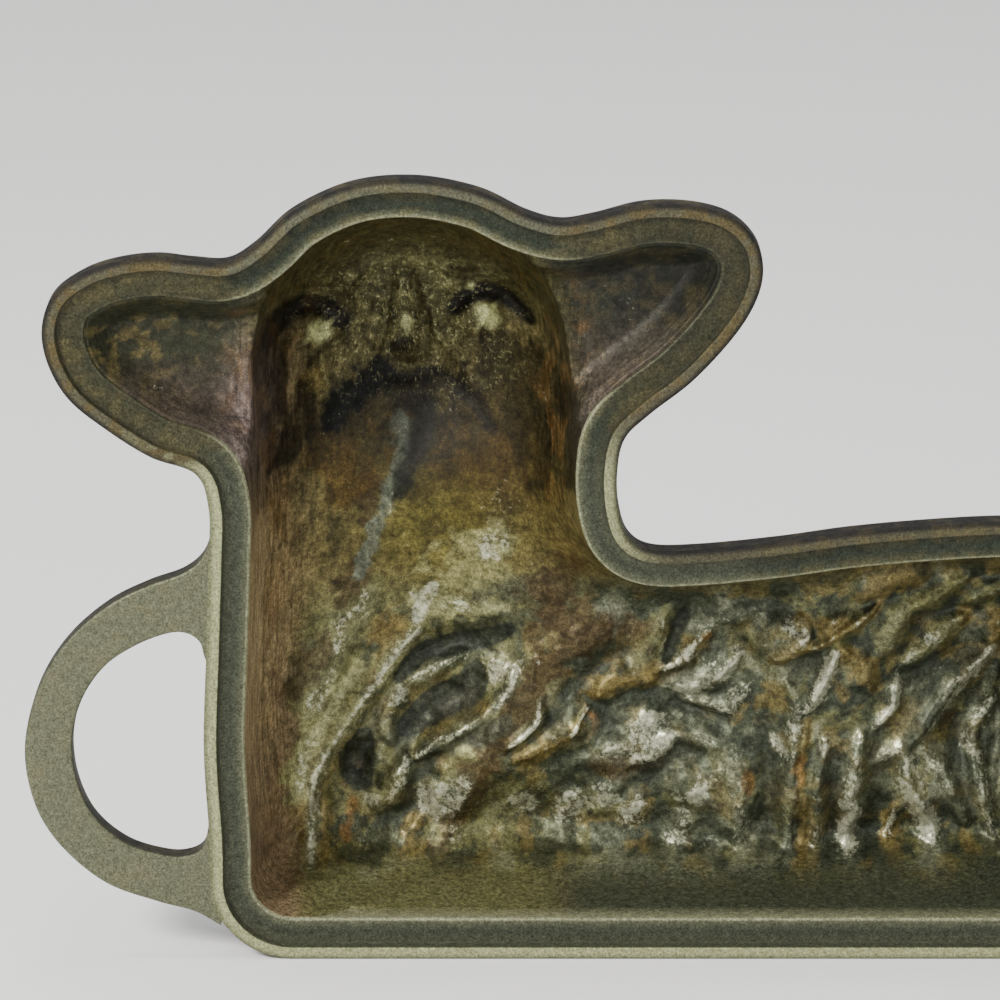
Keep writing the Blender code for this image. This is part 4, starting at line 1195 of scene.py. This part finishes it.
def rimRows(seat):
    # offsets from the outer edge and depths of the front face, from the edge to the mouth
    edge = rimShape["edge"]
    turn = np.radians([0, 18, 36, 54, 72, 90])
    offsets = list(edge * (1 - np.cos(turn)))
    depths = list(edge * (1 - np.sin(turn)))
    step = mould["landWidth"]
    floor = mould["rabbetDepth"]
    if seat == "tongue":
        step += mould["tongueClearance"]
        floor = mould["tongueTopGap"] - mould["seatGap"] - mould["rabbetDepth"]
    lean = mould["stepDraft"]
    soft = 0.28 * np.sign(floor)
    offsets += [1.6, step - 0.5, step - 0.12, step + 0.05, step + lean / 2, step + lean - 0.05,
                step + lean + 0.12, step + lean + 0.4]
    depths += [0, 0, soft * 0.08, soft * 0.8, floor / 2, floor - soft * 0.8, floor - soft * 0.08, floor]
    radius = rimShape["mouthRound"]
    rimWidth = mould["rimWidth"]
    offsets += [5.0, 6.2, 7.4, rimWidth - radius - 0.3]
    depths += [floor] * 4
    offsets += list(rimWidth - radius + radius * np.sin(turn))
    depths += list(floor + radius * (1 - np.cos(turn)))
    return offsets, depths


def rimPiece(name, form, seat, mirrored, colours):
    # one profile carried round the outline: wall's outside, flange, edges, land, step,
    # rabbet or tongue, mouth and the top of the cavity's wall
    edge = rimShape["edge"]
    shell = mould["rimWidth"] - mould["wall"]
    turn = np.radians([90, 72, 54, 36, 18, 0])
    backOffsets = [shell + more for more in (3.0, 2.2, 1.7, 1.2, 0.8, 0.5, 0.2, 0, -0.3, -0.8)]
    backOffsets += [5.0, 4.0, 3.0, 2.4, 1.8, 1.3] + list(edge * (1 - np.cos(turn)))
    frontOffsets, frontDepths = rimRows(seat)
    flat = 1 - handleNearness(rimRing)
    # each row: kind, offset, places and depths
    rows = []
    for k, offset in enumerate(backOffsets):
        spots = ringSpots(offset)
        depth = outerDepth(spots, form)
        if k == 0:
            depth = depth - rimShape["backSink"]
        if offset < edge:
            depth = depth - edge * (1 - np.sqrt(max(0.0, 1 - (1 - offset / edge) ** 2)))
        rows.append(("outside", offset, spots.points, depth))
    backSide = rows[-1][3]
    for share in (0.15, 0.35, 0.55, 0.75, 0.9):
        rows.append(("edge", 0, rimRing, backSide + (edge - backSide) * share))
    # in the ears the rabbet is shallower, and the tongue with it
    middle = ringSpots(6.0)
    ear = smooth(2, 10, middle.whole - middle.body)
    fade = 1 - rimShape[seat + "Loss"] * ear
    for offset, depth in zip(frontOffsets, frontDepths):
        kind = "land" if offset < mould["landWidth"] - 0.1 else "rabbet"
        rows.append((kind, offset, rimRing + rimInward * offset, depth * (flat if offset <= edge else fade)))
    # the cavity's wall goes on under the carved surface's edge, and ends behind it
    lastDepth = rows[-1][3]
    sheetDepth = cavityDepth(ringSpots(mould["rimWidth"] + mould["seam"]), form)
    for extra in (0.03, 0.1, 0.22, 0.4, 0.65, 1.0, 1.5, 2.2, 2.6, 3.0):
        spots = ringSpots(mould["rimWidth"] + extra)
        slope = lastDepth + (sheetDepth - lastDepth) * smooth(0, mould["seam"], extra)
        depth = np.maximum(cavityDepth(spots, form), slope) + (0.2 if extra == 3.0 else 0)
        rows.append(("wall", mould["rimWidth"] + extra, spots.points, depth))
    count = len(rimRing)
    kinds, offsets, places, depths = zip(*rows)
    points = np.vstack([placed(xz, y, mirrored) for xz, y in zip(places, depths)])
    paint = rimPaint(np.vstack(places), np.repeat(kinds, count), np.tile(ear, len(rows)),
                     np.repeat(offsets, count), colours)
    return makeMesh(name, points, turned(netFaces(len(rows), count), not mirrored), paint)


def rimPaint(xz, kind, ear, offset, colours):
    # colours by kind of row, darker round the head and over the back
    x, z = xz[:, 0], xz[:, 1]
    onEdge, onLand, onRabbet, onWall = [kind == row for row in ("edge", "land", "rabbet", "wall")]
    head = smooth(120, 140, z)
    behind = smooth(60, 100, z) * (1 - ear)
    overBack = smooth(90, 112, x) * behind
    rabbetBack = smooth(122, 142, x) * behind
    right = smooth(96, 116, x)
    flecked = smooth(0.46, 0.60, fractal(x, z, 3.0, 46))
    middle = np.exp(-((offset - 6.3) / 1.6) ** 2) * onRabbet
    land = layered(plain(colours["land"], len(x)), colours, [
        ("landHead", head),
        ("landBack", overBack),
        ("landEar", ear * (0.5 + 0.5 * flecked)),
        # painted shade along the land's rounded outer edge
        ("side", (0.4 + 0.5 * np.maximum(head, overBack)) * (1 - smooth(0.5, 1.1, offset))),
    ])
    # the rim's side walls painted near black as shade
    tint = over(plain(colours["outside"], len(x)), colours["side"], onEdge)
    tint = np.where(onLand[:, None], land, tint)
    # the ears' rims darken towards the pocket, and more on the right
    tint = layered(tint, colours, [
        ("rabbet", onRabbet.astype(float)),
        ("rabbetHead", onRabbet * np.maximum(head, rabbetBack)),
        ("rabbetMiddle", 0.55 * middle * (1 - ear)),
        ("mouthEdge", 0.5 * onRabbet * smooth(7.6, 9.6, offset) * (1 - ear) * np.maximum(head, 0.3)),
        ("gold", 0.2 * flecked * (onLand | onRabbet) * np.maximum(head, rabbetBack) * (1 - middle)),
        ("rabbetEar", onRabbet * ear * (0.35 + 0.45 * flecked)),
        ("earRight", onRabbet * ear * (0.35 * right + 0.5 * smooth(6.0, 9.8, offset))),
        ("earRightLow", 0.5 * onLand * ear * right * (1 - smooth(138, 152, z))),
        ("mouthEdge", onRabbet * smooth(9.0, 9.5, offset) * (1 - 0.9 * ear)),
    ])
    spots = Spots(xz[onWall])
    if colours is frontColours:
        tint[onWall] = frontTint(spots.x, spots.z, spots)
    else:
        tint[onWall] = backTint(spots.x, spots.z)
    bareAndShine = np.where(onLand, 0.15 * (1 - smooth(0.2, 1.2, offset)) + 0.15 * (1 - ear), 0)
    # painted shade laid on as soot: at the foot of the step between land and rabbet, on the side walls and
    # along the land's outer edge
    stepLine = np.exp(-((offset - mould["landWidth"] - 0.5) / 0.35) ** 2)
    sootAndShade = np.where(onRabbet | onLand, 0.7 * stepLine, np.where(onEdge, 0.75, 0.1))
    sootAndShade = np.where(onLand & (offset < 0.8), 0.4 + 0.5 * np.maximum(head, overBack), sootAndShade)
    return {"tint": tint, "bareAndShine": bareAndShine, "sootAndShade": sootAndShade, "rust": np.where(onEdge, 0.4, 0.0),
            "streak": onWall * (1 - ear)}


handleShape = {
    "sections": 170,
    "edge": 0.9,           # rounding of the section's corners
    "sink": 0.06,          # how far the roots lie inside the rim's faces
}


def handlePiece(name, side, mirrored, colours):
    # a rounded rectangle carried from root to root between the loop's outer and inner edges
    sections = handleShape["sections"]
    outer = evenly(catmullRom(handleLoops[side + "Outer"]), sections, False)
    inner = evenly(catmullRom(handleLoops[side + "Inner"]), sections, False)
    for edgeLine in (outer, inner):
        edgeLine[:, 0] = chestX + edgeLine[:, 0] if side == "chest" else rumpX - edgeLine[:, 0]
        edgeLine[:, 1] += mould["handleMiddleZ"]
    width = np.linalg.norm(inner - outer, axis=1)
    across = (inner - outer) / width[:, None]
    radius = handleShape["edge"]
    thick = mould["handleThickness"]
    turn = np.radians([0, 22.5, 45, 67.5, 90])
    bend = [(radius * (1 - cos(t)), radius * (1 - sin(t))) for t in turn]
    # share of the width, inset from that edge, and depth, once round the section
    section = [(0, inset, depth) for inset, depth in bend]
    section += [(part, 0, 0) for part in (0.25, 0.5, 0.75)]
    section += [(1, -inset, depth) for inset, depth in bend[::-1]]
    section += [(1, -inset, thick - depth) for inset, depth in bend]
    section += [(part, 0, thick) for part in (0.75, 0.5, 0.25)]
    section += [(0, inset, thick - depth) for inset, depth in bend[::-1]]
    share, inset, depth = np.array(section).T
    reach = share[None, :] * width[:, None] + inset[None, :]
    xz = outer[:, None, :] + across[:, None, :] * reach[:, :, None]
    within = smooth(-0.6, 0.4, nearestOn(xz.reshape(-1, 2), silhouette, True)[0])
    y = np.tile(depth, (sections, 1)).ravel()
    y = y + np.where(y < thick / 2, handleShape["sink"], -handleShape["sink"]) * within
    count = len(section)
    faces = netFaces(sections, count)
    flatXz = xz.reshape(-1, 2)
    tint = over(plain(colours["handle"], len(flatXz)), colours["outside"], (y > 1.5).astype(float))
    # painted shade on the handle's side walls, laid on as colour and soot
    atEnds = np.tile((share < 0.01) | (share > 0.99), sections)
    edge = smooth(0.2, 0.7, y) * (1 - smooth(thick - 0.5, thick - 0.1, y)) * atEnds
    tint = over(tint, colours["side"], 0.7 * edge)
    sootAndShade = np.where(y > 0.4, 0.3, 0.0) + 0.3 * edge
    paint = {"tint": tint, "bareAndShine": np.where(y < 0.5, 0.15, 0.0), "sootAndShade": sootAndShade, "rust": 0.15}
    return makeMesh(name, placed(flatXz, y, mirrored), turned(faces, mirrored), paint)


def holeTube(name, form):
    # a ring of points carried from the cavity's face to the outer face
    angle = np.linspace(0, 2 * pi, hole["sides"], endpoint=False)
    circle = np.column_stack([hole["x"] + hole["radius"] * np.cos(angle),
                              hole["z"] + hole["radius"] * np.sin(angle)])
    spots = Spots(circle)
    near = cavityDepth(spots, form) - backRise(spots)
    far = outerDepth(spots, form) - mould["outsideShare"] * backRise(spots)
    rows = [near + (far - near) * share for share in (0, 0.2, 0.5, 0.8, 1)]
    points = np.vstack([placed(circle, y, True) for y in rows])
    paint = {"tint": plain(frontColours["hole"], len(points)), "sootAndShade": 0.4, "rust": 0.5}
    return makeMesh(name, points, netFaces(len(rows), hole["sides"]), paint)


cavityPatina = {
    "metallic": 0.55,
    "specular": 0.22,
    "rough": 0.38,
    "grain": 2300.0,       # scales are features a metre
    "mottle": 300.0,
    "blotch": 90.0,
    "flake": 850.0,
    "streak": 900.0,       # across the walls' streaks, which are eight times as long
    "mottleDark": 0.50,
    "mottleLight": 1.55,
    "speckle": 0.42,
    "flakeShade": 0.34,    # how much the flakes lighten and darken the patina
    # the bare metal's share carries the painted shine too
    "bareAndShineNoise": 0.75,     # how far noise moves the edge of the bare metal
    "rustColour": (0.34, 0.17, 0.045),
    # pale metal for the bare metal and the painted shine
    "bareAndShineColour": (0.52, 0.53, 0.38),
    # near black for soot and for the painted shade
    "sootAndShadeColour": (0.010, 0.010, 0.008),
    "fleckColour": (0.30, 0.29, 0.14),
    "wrinkleAcross": 1.25,  # noise features a millimetre over and along the wrinkles
    "wrinkleAlong": 0.70,
    "bump": 0.32,
    "bumpDepth": 0.0006,    # metres
}
rimPatina = dict(cavityPatina, metallic=0.45, specular=0.2, rough=0.46, grain=1900.0, mottle=650.0,
                 blotch=150.0, mottleDark=0.70, mottleLight=1.25, speckle=0.55, flakeShade=0.12,
                 bareAndShineNoise=0.35, rustColour=(0.20, 0.16, 0.07), bareAndShineColour=(0.62, 0.62, 0.52), bump=0.25)
outsidePatina = dict(cavityPatina, metallic=0.5, rough=0.48, mottle=240.0, blotch=60.0, speckle=0.3,
                     bareAndShineNoise=0.4, rustColour=(0.13, 0.07, 0.03), bareAndShineColour=(0.30, 0.29, 0.26), bump=0.4)


def patinaMaterial(name, look):
    # one principled shader over layers of noise at Object coordinates, masked by the mesh's shares
    material = bpy.data.materials.new(name)
    material.use_nodes = True
    tree = material.node_tree
    tree.nodes.clear()

    def join(source, socket):
        # a source is a number, a colour, or a node's output
        if isinstance(source, bpy.types.NodeSocket):
            tree.links.new(source, socket)
        elif isinstance(source, tuple):
            socket.default_value = (*source, 1)
        else:
            socket.default_value = source

    def attribute(key):
        made = tree.nodes.new("ShaderNodeAttribute")
        made.attribute_name = key
        return made.outputs["Color" if key == "tint" else "Fac"]

    def noise(vector, scale, detail, roughness, distortion):
        made = tree.nodes.new("ShaderNodeTexNoise")
        tree.links.new(vector, made.inputs["Vector"])
        made.inputs["Scale"].default_value = scale
        made.inputs["Detail"].default_value = detail
        made.inputs["Roughness"].default_value = roughness
        made.inputs["Distortion"].default_value = distortion
        return made.outputs[0]

    def span(source, low, high, newLow=0.0, newHigh=1.0):
        # a value carried from one range into another, and clamped to it
        made = tree.nodes.new("ShaderNodeMapRange")
        join(source, made.inputs["Value"])
        made.inputs["From Min"].default_value = low
        made.inputs["From Max"].default_value = high
        made.inputs["To Min"].default_value = newLow
        made.inputs["To Max"].default_value = newHigh
        return made.outputs[0]

    def maths(operation, first, second):
        made = tree.nodes.new("ShaderNodeMath")
        made.operation = operation
        join(first, made.inputs[0])
        join(second, made.inputs[1])
        return made.outputs[0]

    def times(first, second):
        return maths("MULTIPLY", first, second)

    def blendColours(blend, share, first, second):
        made = tree.nodes.new("ShaderNodeMix")
        made.data_type = "RGBA"
        made.blend_type = blend
        join(share, made.inputs[0])
        join(first, made.inputs[6])
        join(second, made.inputs[7])
        return made.outputs[2]

    def grey(source):
        made = tree.nodes.new("ShaderNodeCombineColor")
        for channel in range(3):
            join(source, made.inputs[channel])
        return made.outputs[0]

    place = tree.nodes.new("ShaderNodeTexCoord").outputs["Object"]
    tint, bareAndShine, sootAndShade, rust, streak = [attribute(key) for key in ("tint", "bareAndShine", "sootAndShade", "rust", "streak")]
    face, across, run = [attribute(key) for key in ("face", "across", "run")]
    grain = noise(place, look["grain"], 3, 0.6, 0.0)
    mottle = noise(place, look["mottle"], 7, 0.65, 0.3)
    blotches = noise(place, look["blotch"], 6, 0.62, 0.7)
    flakes = noise(place, look["flake"], 6, 0.72, 0.2)

    # the walls' streaks, drawn out along a slanted z
    slant = tree.nodes.new("ShaderNodeMapping")
    slant.inputs["Rotation"].default_value = (0, 0.35, 0)
    slant.inputs["Scale"].default_value = (1, 1, 0.12)
    tree.links.new(place, slant.inputs["Vector"])
    lines = noise(slant.outputs[0], look["streak"], 4, 0.6, 0.2)

    # the face's wrinkles, drawn out along its flow
    flow = tree.nodes.new("ShaderNodeCombineXYZ")
    join(times(across, look["wrinkleAcross"]), flow.inputs["X"])
    join(times(run, look["wrinkleAlong"]), flow.inputs["Y"])
    wrinkles = noise(flow.outputs[0], 1.0, 3, 0.6, 0.8)

    # the tint's mottling, rust, streaks, the face's wrinkles, soot with painted shade, bare metal with
    # painted shine, and speckle, in turn
    shade = span(mottle, 0.32, 0.70, look["mottleDark"], look["mottleLight"])
    flakeShade = span(flakes, 0.40, 0.60, 1 - look["flakeShade"], 1 + look["flakeShade"])
    colour = blendColours("MULTIPLY", 1.0, tint, grey(times(shade, flakeShade)))
    colour = blendColours("MIX", times(span(blotches, 0.50, 0.66), rust), colour, look["rustColour"])
    colour = blendColours("MULTIPLY", streak, colour, grey(span(lines, 0.32, 0.68, 0.45, 1.5)))
    fleckShare = times(times(span(wrinkles, 0.55, 0.66), span(mottle, 0.42, 0.58)), face)
    creaseShare = times(span(wrinkles, 0.46, 0.34, 0.0, 0.6), face)
    colour = blendColours("MIX", creaseShare, colour, look["sootAndShadeColour"])
    colour = blendColours("MIX", fleckShare, colour, look["fleckColour"])
    sootAndShadeShare = times(span(mottle, 0.30, 0.55, 0.4, 0.8), maths("POWER", sootAndShade, 1.5))
    colour = blendColours("MIX", sootAndShadeShare, colour, look["sootAndShadeColour"])
    edge = maths("ADD", bareAndShine, times(span(flakes, 0.30, 0.70, -0.5, 0.5), look["bareAndShineNoise"]))
    edge = maths("ADD", edge, times(span(blotches, 0.35, 0.65, -0.5, 0.5), look["bareAndShineNoise"]))
    bareAndShineShare = span(edge, 0.50, 0.84, 0.0, 0.85)
    bareAndShineMottle = times(span(mottle, 0.36, 0.66, 0.62, 1.22), span(flakes, 0.38, 0.62, 0.78, 1.15))
    bareAndShineMetal = blendColours("MULTIPLY", 1.0, look["bareAndShineColour"], grey(bareAndShineMottle))
    colour = blendColours("MIX", bareAndShineShare, colour, bareAndShineMetal)
    speckle = span(grain, 0.3, 0.7, 1 - look["speckle"], 1 + look["speckle"])
    colour = blendColours("MULTIPLY", 1.0, colour, grey(speckle))

    roughness = span(mottle, 0.3, 0.7, look["rough"] + 0.10, look["rough"] - 0.08)
    roughness = maths("SUBTRACT", roughness, times(bareAndShineShare, 0.12))
    roughness = maths("ADD", roughness, times(sootAndShade, 0.25))
    height = maths("ADD", times(grain, 0.35), mottle)
    height = maths("ADD", height, times(times(wrinkles, face), 1.6))

    bump = tree.nodes.new("ShaderNodeBump")
    bump.inputs["Strength"].default_value = look["bump"]
    bump.inputs["Distance"].default_value = look["bumpDepth"]
    join(height, bump.inputs["Height"])
    shader = tree.nodes.new("ShaderNodeBsdfPrincipled")
    join(times(maths("SUBTRACT", 1.0, sootAndShade), look["metallic"]), shader.inputs["Metallic"])
    shader.inputs["Specular IOR Level"].default_value = look["specular"]
    join(colour, shader.inputs["Base Color"])
    join(roughness, shader.inputs["Roughness"])
    tree.links.new(bump.outputs[0], shader.inputs["Normal"])
    output = tree.nodes.new("ShaderNodeOutputMaterial")
    tree.links.new(shader.outputs[0], output.inputs["Surface"])
    return material


print("carving the front half")
net = grid()
cavityIron = patinaMaterial("seasoned iron in the cavity", cavityPatina)
rimIron = patinaMaterial("grey iron of the rim", rimPatina)
outerIron = patinaMaterial("dark iron of the outside", outsidePatina)


def dress(piece, material, body, node):
    # a piece's material, the body that it rides on and what it replaces
    piece.data.materials.append(material)
    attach(piece, body)
    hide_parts(node)


def frontDepth(spots):
    # the cavity less its carving
    return cavityDepth(spots, frontForm) - frontRise(spots)


def frontOuter(spots):
    # the outside with a share of the carving, kept inside the CAD's box
    carving = mould["outsideShare"] * frontRise(spots)
    return np.minimum(outerDepth(spots, frontForm) - carving, cadBox[1][1] * 1000 - mould["boxMargin"])


def backDepth(spots):
    # the cavity less its carving
    return cavityDepth(spots, backForm) - backRise(spots)


def backOuter(spots):
    # the outside with a share of the carving
    return outerDepth(spots, backForm) - mould["outsideShare"] * backRise(spots)


cavityLevel = mould["rimWidth"] + mould["seam"]
shellLevel = mould["rimWidth"] - mould["wall"] + mould["seam"]
backColours = dict(frontColours, handle=(100, 100, 80), land=(128, 126, 98), rabbet=(78, 78, 60))

# each surface follows: level, depth, carving, paint, then mirrored, outward, holed
frontPieces = [
    (carvedSheet("front_cavity", net, cavityLevel, frontDepth, frontRise, frontCavityPaint,
                 False, False, False), cavityIron),
    (carvedSheet("front_outside", net, shellLevel, frontOuter, frontRise, outsidePaint,
                 False, True, False), outerIron),
    (rimPiece("front_rim", frontForm, "rabbet", False, frontColours), rimIron),
    (handlePiece("front_chest_handle", "chest", False, frontColours), rimIron),
    (handlePiece("front_rump_handle", "rump", False, frontColours), rimIron),
]
for piece, iron in frontPieces:
    dress(piece, iron, "front", "front_half")
print("front half made")

backPieces = [
    (carvedSheet("back_cavity", net, cavityLevel, backDepth, backRise, backCavityPaint,
                 True, False, True), cavityIron),
    (carvedSheet("back_outside", net, shellLevel, backOuter, backRise, outsidePaint,
                 True, True, True), outerIron),
    (rimPiece("back_rim", backForm, "tongue", True, backColours), rimIron),
    (handlePiece("back_chest_handle", "chest", True, backColours), rimIron),
    (handlePiece("back_rump_handle", "rump", True, backColours), rimIron),
    (holeTube("back_steam_hole", backForm), outerIron),
]
for piece, iron in backPieces:
    dress(piece, iron, "back", "back_half")
print("back half made")

room = {
    "radius": 7.0,
    "bendRadius": 2.5,
    "wallTop": 4.5,
    "sides": 96,
    "colour": (0.98, 0.98, 0.98),
    "roughness": 0.9,
    "skyColour": (1.0, 1.0, 0.985),
    "skyStrength": 0.70,
}


def makeRoom():
    # a round floor that bends up into a wall: the profile (radius, z) turned about z
    turn = np.linspace(-pi / 2, 0, 16)
    flat = room["radius"] - room["bendRadius"]
    reach = np.concatenate([[1.0, flat], flat + room["bendRadius"] * np.cos(turn), [room["radius"]]])
    height = np.concatenate([[0, 0], room["bendRadius"] * (1 + np.sin(turn)), [room["wallTop"]]])
    angle = np.linspace(0, 2 * pi, room["sides"], endpoint=False)
    rings = np.stack([np.outer(reach, np.cos(angle)), np.outer(reach, np.sin(angle)),
                      np.repeat(height[:, None], room["sides"], 1)], -1)
    points = np.vstack([rings.reshape(-1, 3), [[0, 0, 0]]])
    index = np.arange(len(reach) * room["sides"]).reshape(len(reach), -1)
    after = np.roll(index, -1, axis=1)
    sides = np.stack([index[:-1], index[1:], after[1:], after[:-1]], -1).reshape(-1, 4)
    middle = np.stack([index[0], after[0], np.full(room["sides"], len(points) - 1)], -1)
    mesh = bpy.data.meshes.new("pale_room")
    mesh.from_pydata(points.tolist(), [], sides.tolist() + middle.tolist())
    mesh.polygons.foreach_set("use_smooth", np.ones(len(mesh.polygons), bool))
    floor = bpy.data.objects.new("pale_room", mesh)
    bpy.context.collection.objects.link(floor)
    material = bpy.data.materials.new("pale paper")
    material.use_nodes = True
    shader = material.node_tree.nodes["Principled BSDF"]
    shader.inputs["Base Color"].default_value = (*room["colour"], 1)
    shader.inputs["Roughness"].default_value = room["roughness"]
    floor.data.materials.append(material)


def makeLight(name, place, aim, size, power, colour):
    # a round lamp that looks at a point
    data = bpy.data.lights.new(name, "AREA")
    data.shape = "DISK"
    data.size = size
    data.energy = power
    data.color = colour
    lamp = bpy.data.objects.new(name, data)
    lamp.location = place
    lamp.rotation_euler = (Vector(aim) - Vector(place)).to_track_quat("-Z", "Y").to_euler()
    bpy.context.collection.objects.link(lamp)


lights = [
    # name, place, aim, size, power and colour
    ("key", (-1.0, -1.0, 1.15), (-0.03, 0, 0.1), 0.45, 36, (1.0, 0.985, 0.94)),
    ("fill", (1.4, -1.6, 0.9), (0, 0, 0.1), 1.4, 10, (0.95, 0.96, 1.0)),
    ("top", (0.1, 0.1, 1.9), (0, 0.05, 0.1), 0.9, 12, (1.0, 1.0, 1.0)),
]

makeRoom()
for settings in lights:
    makeLight(*settings)
world = bpy.data.worlds.new("soft studio")
bpy.context.scene.world = world
world.use_nodes = True
sky = world.node_tree.nodes["Background"]
sky.inputs["Color"].default_value = (*room["skyColour"], 1)
sky.inputs["Strength"].default_value = room["skyStrength"]

view = {
    "tilt": 17.0,          # degrees that the camera looks down
    "distance": 1100.0,
    "lookX": 70.0,         # the point at the picture's middle, from the chest side
    "lookZ": 118.0,
    "pixelsPerMm": 4.2,    # at that distance, in a picture 1000 pixels wide
}
tilt = radians(view["tilt"])
cameraData = bpy.data.cameras.new("camera")
cameraData.sensor_width = 36
cameraData.lens = 36 * view["pixelsPerMm"] * view["distance"] / 1000
camera = bpy.data.objects.new("camera", cameraData)
camera.location = ((view["lookX"] - middleX) * 0.001,
                   -view["distance"] * cos(tilt) * 0.001,
                   (view["lookZ"] + view["distance"] * sin(tilt)) * 0.001)
camera.rotation_euler = (pi / 2 - tilt, 0, 0)
bpy.context.collection.objects.link(camera)
bpy.context.scene.camera = camera
print("room, lights and camera made")
